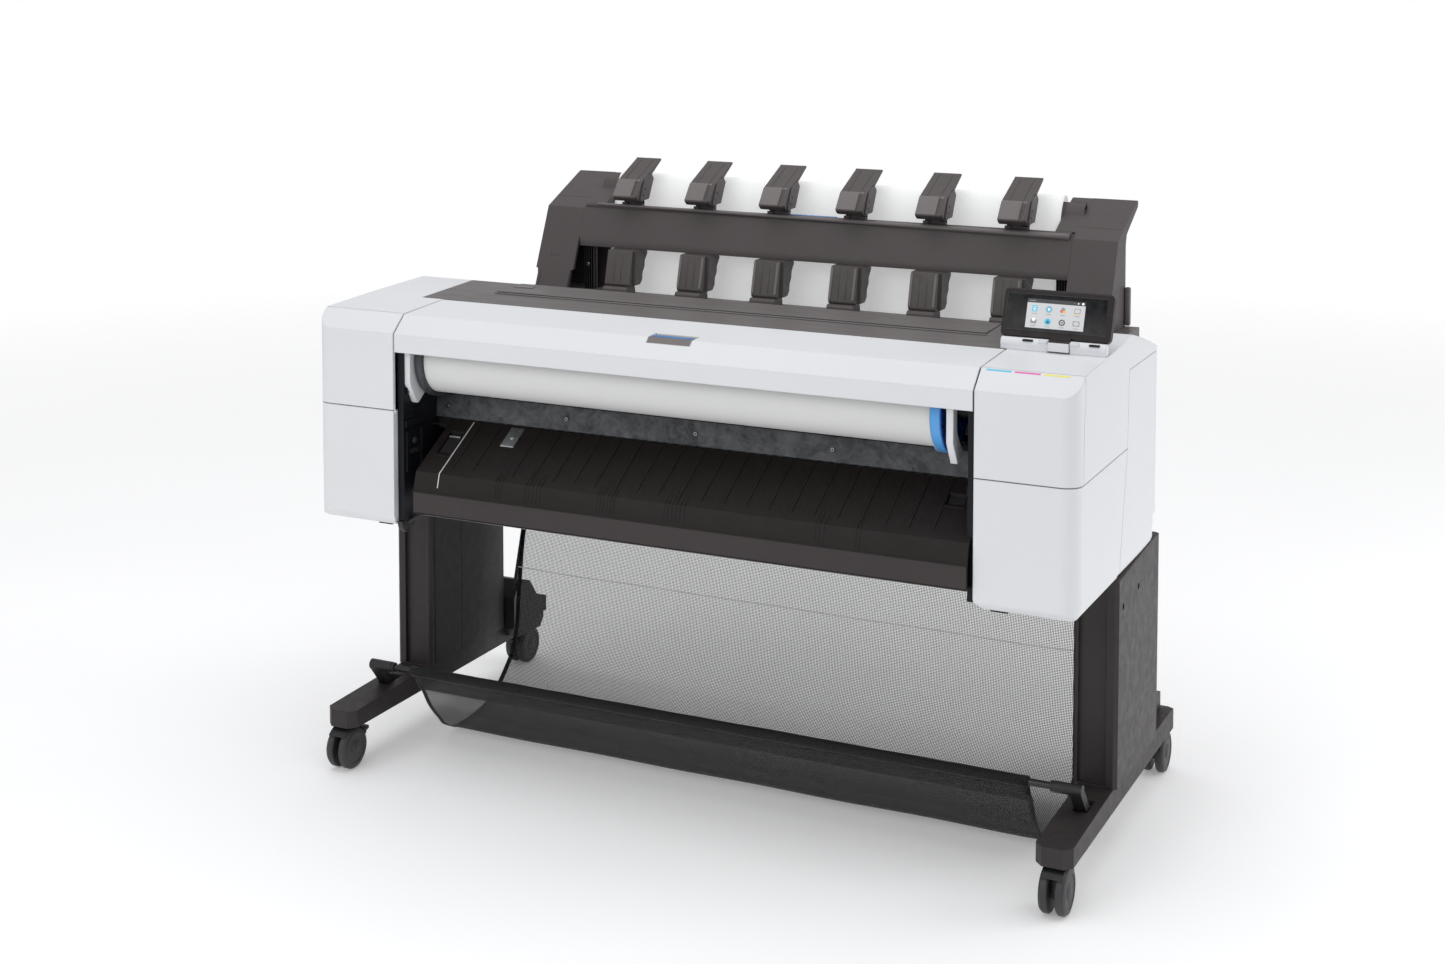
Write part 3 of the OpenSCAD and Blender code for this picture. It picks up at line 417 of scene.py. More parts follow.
dress("cover_latch", "latch", 0.5)
dress("spindle", "black", 0.5)
dress("hub_left", "hubg", 1.5)
dress("hub_right", "hubring", 1.5)
dress("paper_roll", "roll", 0.4)
dress("roll_deflector", "marble", 0.5)
dress("output_apron", "apron", 0.8)
dress("apron_clip", "steel", 0.3)
dress("print_platen", "black", 0.5)
dress("feed_roller", "rubber", 0.3)
dress("pinch_rollers", "rubber", 0.3)
dress("carriage", "black", 1.5)
dress("carriage_rail", "rail", 0.6)
dress("drive_belt", "rubber", 0.0)
dress("carriage_drive", "steel", 0.5)
dress("service_station", "grey", 0.8)
dress("panel_housing", "bezel", 1.6, 3)
dress("panel_glass", "glass", 0.3)
dress("stacker_brackets", "brown", 2.2, 3)
dress("stacker_beam", "brown", 1.6, 3)
dress("stacker_paddles", "paddle", 0.8)
dress("stacker_arms", "paddle", 1.0)
dress("stacker_deck", "brown", 0.5)


# ------------------------------------------------------------------ mesh builder
class G:
    def __init__(self):
        self.v, self.f, self.m = [], [], []
        self.T = Matrix.Identity(4)

    def add(self, vs, fs, mat=0):
        k = len(self.v)
        for p in vs:
            self.v.append(self.T @ Vector(p))
        for f in fs:
            self.f.append([k + i for i in f])
            self.m.append(mat)

    def box(self, a, b, mat=0):
        x0, y0, z0 = a
        x1, y1, z1 = b
        self.add([(x0, y0, z0), (x1, y0, z0), (x1, y1, z0), (x0, y1, z0), (x0, y0, z1), (x1, y0, z1), (x1, y1, z1), (x0, y1, z1)],
                 [(0, 3, 2, 1), (4, 5, 6, 7), (0, 1, 5, 4), (1, 2, 6, 5), (2, 3, 7, 6), (3, 0, 4, 7)], mat)

    def prism(self, pts, axis, c0, c1, mat=0):
        """Polygon pushed along an axis: pts are (y,z) for x, (x,z) for y, (x,y) for z."""
        n = len(pts)
        area = sum(pts[i][0] * pts[(i + 1) % n][1] - pts[(i + 1) % n][0] * pts[i][1] for i in range(n))
        if area < 0:
            pts = pts[::-1]

        def w(p, c):
            return (c, p[0], p[1]) if axis == 'x' else ((p[0], c, p[1]) if axis == 'y' else (p[0], p[1], c))
        vs = [w(p, c0) for p in pts] + [w(p, c1) for p in pts]
        flip = axis == 'y'
        fs = [list(range(n - 1, -1, -1)), list(range(n, 2 * n))] + [[i, (i + 1) % n, n + (i + 1) % n, n + i] for i in range(n)]
        if flip:
            fs = [f[::-1] for f in fs]
        self.add(vs, fs, mat)

    def cyl(self, p0, p1, r, n=28, mat=0, r1=None):
        p0, p1 = Vector(p0), Vector(p1)
        d = (p1 - p0).normalized()
        u = d.orthogonal().normalized()
        w = d.cross(u)
        r1 = r if r1 is None else r1
        vs = []
        for c, rr in ((p0, r), (p1, r1)):
            for i in range(n):
                a = 2 * math.pi * i / n
                vs.append(c + (u * math.cos(a) + w * math.sin(a)) * rr)
        fs = [list(range(n - 1, -1, -1)), list(range(n, 2 * n))] + [[i, (i + 1) % n, n + (i + 1) % n, n + i] for i in range(n)]
        self.add(vs, fs, mat)

    def lathe(self, prof, origin, axis, n=48, mat=0):
        """prof: list of (radius, distance along axis); closed ring of quads around axis."""
        o, d = Vector(origin), Vector(axis).normalized()
        u = d.orthogonal().normalized()
        w = d.cross(u)
        vs, fs = [], []
        k = len(prof)
        for i in range(n):
            a = 2 * math.pi * i / n
            e = u * math.cos(a) + w * math.sin(a)
            for r, h in prof:
                vs.append(o + d * h + e * r)
        for i in range(n):
            j = (i + 1) % n
            for q in range(k):
                q2 = (q + 1) % k
                fs.append([i * k + q, j * k + q, j * k + q2, i * k + q2])
        self.add(vs, fs, mat)

    def sweep(self, path, r, n=12, mat=0):
        path = [Vector(p) for p in path]
        vs, fs = [], []
        u = None
        for i, p in enumerate(path):
            d = (path[min(i + 1, len(path) - 1)] - path[max(i - 1, 0)]).normalized()
            u = (d.orthogonal() if u is None else (u - d * u.dot(d))).normalized()
            w = d.cross(u)
            for k in range(n):
                a = 2 * math.pi * k / n
                vs.append(p + (u * math.cos(a) + w * math.sin(a)) * r)
        for i in range(len(path) - 1):
            for k in range(n):
                fs.append([i * n + k, i * n + (k + 1) % n, (i + 1) * n + (k + 1) % n, (i + 1) * n + k])
        fs.append(list(range(n - 1, -1, -1)))
        fs.append([(len(path) - 1) * n + k for k in range(n)])
        self.add(vs, fs, mat)

    def make(self, name, mats, body, bevel=0.0, seg=2, angle=35, smooth=True, replaces=None):
        me = bpy.data.meshes.new(name)
        me.from_pydata([tuple(P(*p)) for p in self.v], [], self.f)
        me.validate()
        bm = bmesh.new()
        bm.from_mesh(me)
        bmesh.ops.recalc_face_normals(bm, faces=bm.faces)
        bm.to_mesh(me)
        bm.free()
        if len(me.polygons) == len(self.m):
            for p, k in zip(me.polygons, self.m):
                p.material_index = k
        for m in mats:
            me.materials.append(M[m])
        o = bpy.data.objects.new(name, me)
        bpy.context.scene.collection.objects.link(o)
        if bevel:
            b = o.modifiers.new("edge", "BEVEL")
            b.width = bevel / 1000
            b.segments = seg
            b.limit_method = "ANGLE"
            b.angle_limit = math.radians(angle)
            b.miter_outer = "MITER_ARC"
        if smooth:
            for p in me.polygons:
                p.use_smooth = True
            n = o.modifiers.new("wn", "WEIGHTED_NORMAL")
            n.weight = 80
        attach(o, body)
        if replaces:
            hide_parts(*replaces)
        return o


SL = 6 / 179.0


def top_z(y):
    return 844 + (y - 161) * SL if y >= 161 else 838 + (y - 34) * 6 / 127.0


# ------------------------------------------------------------------ basket
fab = [(134.5, 150), (150, 128), (164, 112), (178, 88), (196, 60), (222, 26), (246, 14.5), (292, 10.5), (345, 13), (397, 24), (427, 45),
       (454, 68), (477, 93), (492, 140), (500, 204), (522.6, 320.6), (560, 374), (610.5, 413.5)]
BW = 584.0


def resample(pts, n):
    pts = [np.array(p, float) for p in pts]
    # Catmull-Rom through the profile, then even spacing
    dense = []
    for i in range(len(pts) - 1):
        p0 = pts[max(i - 1, 0)]; p1 = pts[i]; p2 = pts[i + 1]; p3 = pts[min(i + 2, len(pts) - 1)]
        for k in range(12):
            t = k / 12
            dense.append(0.5 * ((2 * p1) + (-p0 + p2) * t + (2 * p0 - 5 * p1 + 4 * p2 - p3) * t * t + (-p0 + 3 * p1 - 3 * p2 + p3) * t ** 3))
    dense.append(pts[-1])
    dense = np.array(dense)
    s = np.concatenate([[0], np.cumsum(np.linalg.norm(np.diff(dense, axis=0), axis=1))])
    u = np.linspace(0, s[-1], n)
    return np.stack([np.interp(u, s, dense[:, k]) for k in range(dense.shape[1])], 1), s[-1]


def basket():
    nu, nv = 96, 72
    # the sheet leaves the sleeve on the front rod, hangs down and runs up to the back rod
    prof, length = resample(fab, nv)
    xs = np.linspace(-BW, BW, nu)
    rng = np.random.RandomState(7)
    vs = []
    for j in range(nv):
        for i in range(nu):
            vs.append((xs[i], prof[j][0], prof[j][1]))
    fs = [(j * nu + i, j * nu + i + 1, (j + 1) * nu + i + 1, (j + 1) * nu + i) for j in range(nv - 1) for i in range(nu - 1)]
    me = bpy.data.meshes.new("basket_mesh")
    me.from_pydata([tuple(P(*v)) for v in vs], [], fs)
    uvl = me.uv_layers.new(name="cloth")
    for p in me.polygons:
        for li, vi in zip(p.loop_indices, p.vertices):
            j, i = divmod(vi, nu)
            uvl.data[li].uv = (xs[i] / 1000, j / (nv - 1) * length / 1000)
    o = bpy.data.objects.new("basket_mesh", me)
    bpy.context.scene.collection.objects.link(o)
    vg = o.vertex_groups.new(name="pin")
    for j in range(nv):
        w = 1.0 if j in (0, nv - 1) else 0.0
        if w:
            vg.add([j * nu + i for i in range(nu)], w, "REPLACE")
    c = o.modifiers.new("cloth", "CLOTH")
    st = c.settings
    st.quality = 6
    st.mass = 0.12
    st.tension_stiffness = 40
    st.compression_stiffness = 8
    st.shear_stiffness = 3
    st.bending_stiffness = 0.6
    st.tension_damping = 12
    st.air_damping = 4
    st.vertex_group_mass = "pin"
    c.collision_settings.use_collision = False
    c.point_cache.frame_start = 1
    c.point_cache.frame_end = 30
    sc = bpy.context.scene
    for f in range(1, 31):
        sc.frame_set(f)
    dg = bpy.context.evaluated_depsgraph_get()
    ev = o.evaluated_get(dg)
    co = np.array([v.co for v in ev.data.vertices])
    o.modifiers.remove(c)
    rest = np.array([v.co for v in me.vertices])
    d = co - rest
    L = np.linalg.norm(d, axis=1, keepdims=True)
    cap = 0.0035
    d = d * np.minimum(1, cap / np.maximum(L, 1e-9))
    new = rest + d
    me.vertices.foreach_set("co", new.astype(np.float32).ravel())
    sc.frame_set(1)
    # soft ripples that grow towards the loose side edges
    co = np.array([v.co for v in me.vertices])
    for k in range(len(co)):
        j, i = divmod(k, nu)
        t = j / (nv - 1)
        e = abs(xs[i]) / BW
        a = math.sin(math.pi * t) * (0.0012 + 0.0030 * e ** 6)
        co[k][2] += a * math.sin(xs[i] * 0.021 + 2.0 * t) * 0.6
        co[k][1] += a * math.sin(xs[i] * 0.017 + 5 * t) * 0.5
        co[k][0] -= math.copysign(1, xs[i]) * math.sin(math.pi * t) * 0.006 * e ** 4
    co[:, 2] = np.maximum(co[:, 2], 0.0035)
    me.vertices.foreach_set("co", co.astype(np.float32).ravel())
    for p in me.polygons:
        p.use_smooth = True
    me.materials.append(M["mesh"])
    s = o.modifiers.new("sub", "SUBSURF")
    s.levels = s.render_levels = 1
    t = o.modifiers.new("thick", "SOLIDIFY")
    t.thickness = 0.0008
    t.offset = 0
    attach(o, "frame")
    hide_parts("basket_fabric")
    co = co.reshape(nv, nu, 3)

    # sewn sleeves round both rods, hems down both sides and one seam across the back
    def strip(name, rows, mat, thick, uvs=0.001):
        rows = np.array(rows)
        a, b2 = rows.shape[:2]
        m2 = bpy.data.meshes.new(name)
        m2.from_pydata([tuple(p) for p in rows.reshape(-1, 3)], [], [(j * b2 + i, j * b2 + i + 1, (j + 1) * b2 + i + 1, (j + 1) * b2 + i) for j in range(a - 1) for i in range(b2 - 1)])
        u = m2.uv_layers.new(name="cloth")
        run = np.concatenate([[0], np.cumsum(np.linalg.norm(np.diff(rows[:, 0, :], axis=0), axis=1))])
        for p in m2.polygons:
            for li, vi in zip(p.loop_indices, p.vertices):
                j, i = divmod(vi, b2)
                u.data[li].uv = (rows[j][i][0], run[j])
            p.use_smooth = True
        m2.materials.append(M[mat])
        q = bpy.data.objects.new(name, m2)
        bpy.context.scene.collection.objects.link(q)
        sd = q.modifiers.new("thick", "SOLIDIFY")
        sd.thickness = thick / 1000
        sd.offset = 0
        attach(q, "frame")
        return q
    xs2 = np.linspace(-BW, BW, 60)
    rows = []
    for k in range(22):
        a = math.radians(-140 + 320 * k / 21)
        r = 8.6
        rows.append([P(x, 130 - r * math.sin(a), 157.3 + r * math.cos(a) + 0.25 * math.sin(x * 0.05 + k)) for x in xs2])
    strip("basket_front_sleeve", rows, "hem", 0.9)
    # doubled flap below the front rod
    rows = []
    step = length / (nv - 1)
    for k in range(12):
        j = k * 46.0 / 11 / step
        j0 = int(j); f = j - j0
        pr = prof[j0] * (1 - f) + prof[j0 + 1] * f
        dd = prof[j0 + 1] - prof[j0]
        dd = dd / np.linalg.norm(dd)
        off = 1.6 + 1.2 * math.sin(math.pi * k / 11)
        rows.append([P(x, pr[0] + dd[1] * off + 0.25 * math.sin(x * 0.03), pr[1] - dd[0] * off) for x in xs2])
    strip("basket_front_flap", rows, "band", 0.7)
    rows = []
    for k in range(22):
        a = math.radians(-150 + 300 * k / 21)
        r = 7.2
        rows.append([P(x, 616 + r * math.sin(a), 418 + r * math.cos(a)) for x in xs2])
    strip("basket_rear_sleeve", rows, "hem", 0.9)
    for s, name in ((-1, "basket_hem_left"), (1, "basket_hem_right")):
        rows = []
        for j in range(nv):
            a = co[j][0 if s < 0 else nu - 1]
            rows.append([a + np.array([-s * w_, 0, -0.0009]) for w_ in (0.0, 0.003, 0.006, 0.009)])
        strip(name, rows, "hem", 0.5)
    # light seam across the back sheet
    jt = int(np.argmin(np.abs(prof[:, 1] - 246) + 1000 * (prof[:, 0] < 470)))
    g = G()
    for i in range(0, nu - 1):
        a = co[jt][i]; b2 = co[jt][i + 1]
        pa = (a[0] * 1000, a[1] * 1000 + D - 1.2, a[2] * 1000 + 0.5)
        pb = (b2[0] * 1000, b2[1] * 1000 + D - 1.2, b2[2] * 1000 + 0.5)
        g.add([(pa[0], pa[1], pa[2] - 0.5), (pb[0] - 1.5, pb[1], pb[2] - 0.5), (pb[0] - 1.5, pb[1], pb[2] + 0.5), (pa[0], pa[1], pa[2] + 0.5),
               (pa[0], pa[1] + 0.8, pa[2] - 0.5), (pb[0] - 1.5, pb[1] + 0.8, pb[2] - 0.5), (pb[0] - 1.5, pb[1] + 0.8, pb[2] + 0.5), (pa[0], pa[1] + 0.8, pa[2] + 0.5)],
              [(0, 1, 2, 3), (7, 6, 5, 4), (0, 4, 5, 1), (1, 5, 6, 2), (2, 6, 7, 3), (3, 7, 4, 0)])
    g.make("basket_back_seam", ["seam"], "frame", smooth=False)


basket()


# ------------------------------------------------------------------ printed sheet held by the stacker
def sheet_piece():
    pts = [(664, 700), (668, 800), (680, 850), (690, 900), (697, 950), (706, 988), (717, 1009), (727, 1020), (737, 1023.5), (747, 1020), (754, 1008), (757, 990), (757.5, 960), (756, 930)]
    prof, length = resample(pts, 64)
    xs = np.linspace(-461, 461, 70)
    vs = []
    for j in range(64):
        for x in xs:
            w = 0.5 * math.sin(x * 0.018 + prof[j][1] * 0.01) + 0.25 * math.sin(x * 0.047)
            vs.append((x, prof[j][0] + w * 0.6, prof[j][1]))
    me = bpy.data.meshes.new("stacked_sheet")
    nu = len(xs)
    me.from_pydata([tuple(P(*v)) for v in vs], [], [(j * nu + i, j * nu + i + 1, (j + 1) * nu + i + 1, (j + 1) * nu + i) for j in range(63) for i in range(nu - 1)])
    for p in me.polygons:
        p.use_smooth = True
    me.materials.append(M["paper"])
    o = bpy.data.objects.new("stacked_sheet", me)
    bpy.context.scene.collection.objects.link(o)
    s = o.modifiers.new("thick", "SOLIDIFY")
    s.thickness = 0.0006
    s.offset = 0
    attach(o, "frame")
    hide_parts("print_sheet")


sheet_piece()

# ------------------------------------------------------------------ roll cover latch and trims
g = G()
# blue strip on the latch, behind the paddle
g.box((-42, 40.5, 837.3), (31, 46.8, 839.2), 0)
g.make("latch_blue_strip", ["blue"], "cover_latch", bevel=0.5)
g = G()
# rim round the latch opening
for a, b in (((-46.6, 24.0, 829.2), (-44.7, 61.5, 831.2)),):
    pass
prof_c = [(24.2, 829.4), (34.0, 838.1), (61.8, 839.4), (61.8, 838.2), (34.4, 836.9), (25.0, 828.9)]
g.prism(prof_c, 'x', -46.2, -44.7, 0)
g.prism(prof_c, 'x', 33.7, 35.2, 0)
g.make("latch_rim", ["latch"], "roll_cover", bevel=0.3)

# ------------------------------------------------------------------ ink colour marks on the right door's upper edge
g = G()
for k, (x0, x1) in enumerate(((540, 580), (585, 626), (631, 672))):
    y0, y1 = 30.8, 33.0
    z = lambda y: 808.9 + (y) * (838 - 808.9) / 34
    o_ = 0.35
    g.add([(x0, y0, z(y0) + o_), (x1, y0, z(y0) + o_), (x1, y1, z(y1) + o_), (x0, y1, z(y1) + o_),
           (x0, y0, z(y0) - 0.4), (x1, y0, z(y0) - 0.4), (x1, y1, z(y1) - 0.4), (x0, y1, z(y1) - 0.4)],
          [(0, 1, 2, 3), (7, 6, 5, 4), (0, 4, 5, 1), (1, 5, 6, 2), (2, 6, 7, 3), (3, 7, 4, 0)], k)
g.make("ink_colour_marks", ["cy", "mg", "ye"], "door_right", smooth=False)

# ------------------------------------------------------------------ front panel: screen page with plain symbols
T = Matrix.Translation((0, 172, 854.2)) @ Matrix.Rotation(math.radians(-22), 4, 'X')
g = G(); g.T = T
F = 4.2            # front face of the glass, local Y
# active page and status bar; local x across, z up
PX0, PX1, PZ0, PZ1, PZB = 553, 648, 27, 68, 74.5
def pl(x0, z0, x1, z1, y, mat, t=0.12):
    g.box((x0, y - t, z0), (x1, y, z1), mat)
MAT = ["ui_bg", "ui_bar", "ui_w", "ui_k", "ui_c", "ui_m", "ui_y", "ui_g"]
pl(PX0, PZ0, PX1, PZ1, F, 0)
pl(PX0, PZ1 + 0.1, PX1, PZB, F, 1)
cxs = [PX0 + 13 + i * 23.2 for i in range(4)]
r1, r2 = 58.5, 38.5
def disc(x, z, r, mat, y=F - 0.12, n=28, rin=0.0, t=0.10):
    if rin:
        g.lathe([(rin, 0), (r, 0), (r, t), (rin, t)], (x, y, z), (0, -1, 0), n, mat)
    else:
        g.cyl((x, y, z), (x, y - t, z), r, n, mat)
Y1 = F - 0.12
# row 1: document, ring, three-colour dot, tray
pl(cxs[0] - 4, r1 - 5, cxs[0] + 4, r1 + 5, Y1, 4, 0.1); pl(cxs[0] - 2.4, r1 - 3.2, cxs[0] + 2.4, r1 - 2.2, Y1 - 0.1, 2, 0.06); pl(cxs[0] - 2.4, r1 - 0.6, cxs[0] + 2.4, r1 + 0.4, Y1 - 0.1, 2, 0.06); pl(cxs[0] - 2.4, r1 + 2.0, cxs[0] + 2.4, r1 + 3.0, Y1 - 0.1, 2, 0.06)
disc(cxs[1], r1, 5.4, 7, rin=4.6); disc(cxs[1], r1, 4.2, 4, rin=2.2); disc(cxs[1], r1, 1.7, 2)
disc(cxs[2] - 1.6, r1 - 1.2, 3.0, 5); disc(cxs[2] + 1.8, r1 - 1.2, 3.0, 6, Y1 - 0.03); disc(cxs[2], r1 + 1.8, 3.0, 7, Y1 - 0.06)
pl(cxs[3] - 5, r1 - 3.6, cxs[3] + 5, r1 + 4.6, Y1, 7, 0.1); pl(cxs[3] - 4, r1 - 2.6, cxs[3] + 4, r1 + 3.6, Y1 - 0.1, 0, 0.06); pl(cxs[3] - 5, r1 - 5.4, cxs[3] + 5, r1 - 4.4, Y1, 6, 0.1)
# row 2: tray, filled dot, gear, frame
pl(cxs[0] - 5, r2 - 4.0, cxs[0] + 5, r2 + 2.0, Y1, 7, 0.1); disc(cxs[0], r2 + 2.2, 2.6, 2, Y1 - 0.1); pl(cxs[0] - 5, r2 - 5.6, cxs[0], r2 - 4.8, Y1, 6, 0.1); pl(cxs[0] + 0.6, r2 - 5.6, cxs[0] + 5, r2 - 4.8, Y1, 4, 0.1)
disc(cxs[1], r2, 5.2, 4); g.add([(cxs[1] - 3, Y1 - 0.14, r2 - 2.4), (cxs[1] + 3, Y1 - 0.14, r2 - 2.4), (cxs[1] + 0.4, Y1 - 0.14, r2 + 2.8)], [(0, 1, 2)], 3)
for k in range(8):
    a = math.pi * k / 4
    disc(cxs[2] + 4.5 * math.cos(a), r2 + 4.5 * math.sin(a), 1.15, 3, n=10)
disc(cxs[2], r2, 4.6, 3, rin=3.3); disc(cxs[2], r2, 1.9, 3, rin=1.0)
for q in ((-5.2, -3.8, 5.2, -3.0), (-5.2, 3.0, 5.2, 3.8), (-5.2, -3.0, -4.4, 3.0), (4.4, -3.0, 5.2, 3.0)):
    pl(cxs[3] + q[0], r2 + q[1], cxs[3] + q[2], r2 + q[3], Y1, 3, 0.1)
# plain bars in place of captions, and two status dots
for i in range(4):
    for r_ in (r1, r2):
        pl(cxs[i] - 4.2, r_ - 8.6, cxs[i] + 4.2, r_ - 7.7, Y1, 7, 0.08)
disc(PX1 - 4.5, (PZ1 + PZB) / 2, 1.9, 2, F - 0.12); disc(PX1 - 12, (PZ1 + PZB) / 2, 1.1, 2, F - 0.12); disc(PX1 - 18.5, (PZ1 + PZB) / 2, 0.7, 7, F - 0.12)
pl(PX0 + 3, (PZ1 + PZB) / 2 - 0.6, PX0 + 14, (PZ1 + PZB) / 2 + 0.6, F - 0.1, 7, 0.06)
g.make("screen_page", MAT, "panel", smooth=False)
# light line round the glass, stylus clip on the base
g = G(); g.T = T
for a, b in (((519.6, 3.6, 21.6), (684.4, 4.25, 22.3)), ((519.6, 3.6, 81.2), (684.4, 4.25, 81.9)), ((519.6, 3.6, 21.6), (520.3, 4.25, 81.9)), ((683.7, 3.6, 21.6), (684.4, 4.25, 81.9))):
    g.box(a, b)
g.make("glass_rim", ["grey"], "panel", bevel=0.15)
g = G()
# raised clip in the middle of the barrel with a dark slot each side
g.box((597.6, 160.4, 846.6), (632.4, 163.0, 860.6), 0)
g.box((582, 160.6, 858.0), (596.6, 169.5, 862.6), 0)
g.box((633.4, 160.6, 858.0), (648, 169.5, 862.6), 0)
for x0 in (556, 664):
    g.box((x0, 161.8, 859.2), (x0 + 17, 168.2, 862.2), 1)
g.make("panel_base_clip", ["white", "gap"], "frame", bevel=0.9)
# low stepped ribs at the right of the panel
g = G()
for k in range(5):
    g.prism([(166 + 5 * k, top_z(166 + 5 * k) + 0.05), (166 + 5 * k, top_z(166 + 5 * k) + 0.9), (167.6 + 5 * k, top_z(167.6 + 5 * k) + 0.9), (167.6 + 5 * k, top_z(167.6 + 5 * k) + 0.05)], 'x', 690.5 - 2 * k, 693.0, 0)
g.make("cabinet_top_ribs", ["white"], "frame", bevel=0.3)

# ------------------------------------------------------------------ stacker: paddle shells, arm strips, fins, lip
PX = [i * 158 for i in (-2.5, -1.5, -0.5, 0.5, 1.5, 2.5)]
g = G()
for n_, x in enumerate(PX):
    h = 27
    # rounded base plate in front of the flap, clear of the side plate
    g.prism([(617.2, 986.5), (616.0, 989.6), (638.6, 1017.6), (641.5, 1019.6), (646, 1019.8), (640, 1012), (622, 986)], 'x', x - 26.4, x + 12.6, 0)
    g.prism([(617.2, 986.5), (616.0, 989.6), (638.6, 1017.6), (641.5, 1019.6), (646, 1019.8), (640, 1012), (622, 986)], 'x', x + 13.4, x + 22.0, 0)
    # two raised strips on the base
    g.prism([(615.6, 990.5), (637.8, 1018), (637, 1018.6), (614.9, 991.1)], 'x', x + 14.0, x + 16.2, 1)
    g.prism([(615.6, 990.5), (637.8, 1018), (637, 1018.6), (614.9, 991.1)], 'x', x + 18.2, x + 20.4, 1)
g.make("paddle_bases", ["paddle_base", "brown"], "frame", bevel=1.6, seg=3)
g = G()
for n_, x in enumerate(PX):
    h = 27
    # side plate with a notch and two pin holes
    g.prism([(630, 979), (628, 984), (634, 995), (637, 1003), (648, 1020), (656, 1025), (676, 1031), (687, 1019), (676, 1000), (665, 980)], 'x', x + h + 0.2, x + h + 2.4, 0)
    for (y, z) in ((641, 990), (648, 1002)):
        g.cyl((x + h + 2.3, y, z), (x + h + 3.0, y, z), 1.8, 16, 1)
    # hinge knuckles between the neck and the flap
    g.cyl((x - 21, 659, 974.6), (x - 8, 659, 974.6), 4.4, 20, 0)
    g.cyl((x + 4, 659, 974.6), (x + 20, 659, 974.6), 4.4, 20, 0)
    g.box((x - 24, 651.5, 963.5), (x - 12, 655.2, 972.5), 0)
    g.box((x + 8, 651.5, 963.5), (x + 20, 655.2, 972.5), 0)
g.make("paddle_side_plates", ["brown", "gap"], "frame", bevel=0.7)
g = G()
for n_, x in enumerate(PX):
    h = 27
    # lighter strips along the edges of the lower arms: painted edge highlight
    for x0 in ((x - h - 0.3, x - h + 4.6), (x + h - 7.6, x + h - 2.8)):
        if n_ == 0:
            continue
        g.prism([(582.0, 823), (598.0, 881), (597.2, 881.4), (581.2, 823.4)], 'x', x0[0], x0[1], 1)
    for xx in (x - 9, x + 6):
        g.prism([(582.2, 824), (598.0, 880.4), (597.5, 880.7), (581.6, 824.4)], 'x', xx, xx + 1.0, 0)
    # wavy fin on the right side
    fin = [(598, 815.6), (606, 883.4), (651.4, 883.4), (653.4, 874), (641.4, 860), (640.4, 848), (632.4, 838), (630.4, 824), (621.6, 815.6)]
    g.prism(fin, 'x', x + h + 3.0, x + h + 4.6, 0)
g.make("arm_strips", ["paddle", "paddle_base"], "frame", bevel=0.5)
# lighter tube lip that grows along the beam, its light colour a painted highlight of the glossy top edge, dark channel,
# blue strip
g = G()
K = 24
ring = 16
for s_ in (1,):
    pts, r_ = [], []
    for k in range(K + 1):
        t = k / K
        x = -470 + 965 * t
        r0 = 2.4 + 3.4 * t
        pts.append((x, 644.5 - 1.0 * t, 968.6 - 5.0 * t - 0.6 * r0))
        r_.append(r0)
    vs, fs = [], []
    for k in range(K + 1):
        for q in range(ring):
            a = 2 * math.pi * q / ring
            vs.append((pts[k][0], pts[k][1] + r_[k] * math.sin(a), pts[k][2] + r_[k] * math.cos(a)))
    for k in range(K):
        for q in range(ring):
            fs.append((k * ring + q, k * ring + (q + 1) % ring, (k + 1) * ring + (q + 1) % ring, (k + 1) * ring + q))
    fs.append(tuple(range(ring - 1, -1, -1)))
    fs.append(tuple(K * ring + q for q in range(ring)))
    g.add(vs, fs, 0)
g.make("beam_tube_lip_painted_highlight", ["paddle_base"], "frame")
g = G()
g.box((-57, 651.0, 966.8), (40, 658.5, 968.6), 0)
g.make("beam_blue_strip", ["blue"], "frame", bevel=0.4)
# crease line on the bracket tops, foot lips beside the slots
g = G()
for s in (-1, 1):
    xa, xb = sorted((s * 500.5, s * 583.4))
    y, z = 645 + 125 * 0.30, 957.5 + 54.5 * 0.30
    g.prism([(y, z - 0.4), (y + 1.0, z + 0.05), (y + 0.7, z + 0.8), (y - 0.3, z + 0.35)], 'x', xa + 2, xb - 3, 0)
    for q0, q1 in ((506, 513), (571, 577)):
        x0, x1 = sorted((s * q0, s * q1))
        g.prism([(576.0, 797.5), (591.4, 833), (589.8, 833.6), (574.6, 798.2)], 'x', x0, x1, 0)
    x0, x1 = sorted((s * 520, s * 566))
    g.box((x0, 590, 796.2), (x1, 640, 799.0), 0)
g.make("bracket_trims", ["brown"], "frame", bevel=0.35)
# shelf that closes the top of each bracket towards the stack, with a bright bar in the right one
g = G()
def slope(y):
    return 957.5 + (y - 645) * 54.5 / 125


for s in (-1, 1):
    x0, x1 = sorted((s * 462, s * 500.6))
    g.prism([(666, slope(666)), (736, slope(736)), (738, slope(736) - 14), (700, 958), (668, 952)], 'x', x0, x1, 0)
    g.prism([(763, slope(763)), (770, 1012), (780, 1015.2), (784.6, 1011.8), (781.6, 1003), (761, 992)], 'x', x0, x1, 0)
    g.prism([(736, slope(736) - 10), (763, slope(763) - 10), (763, slope(763) - 15), (736, slope(736) - 15)], 'x', x0, x1, 0)
    for q0, q1 in ((462, 467), (495, 500.6)):
        xa, xb = sorted((s * q0, s * q1))
        g.prism([(735.6, slope(735.6)), (763.4, slope(763.4)), (763.4, slope(763.4) - 12), (735.6, slope(735.6) - 12)], 'x', xa, xb, 0)
g.prism([(741, slope(741) - 6), (747, slope(747) - 6), (747, slope(747) - 9), (741, slope(741) - 9)], 'x', 467.5, 494.5, 1)
g.make("bracket_shelves", ["brown", "screw"], "frame", bevel=0.8)
g = G()
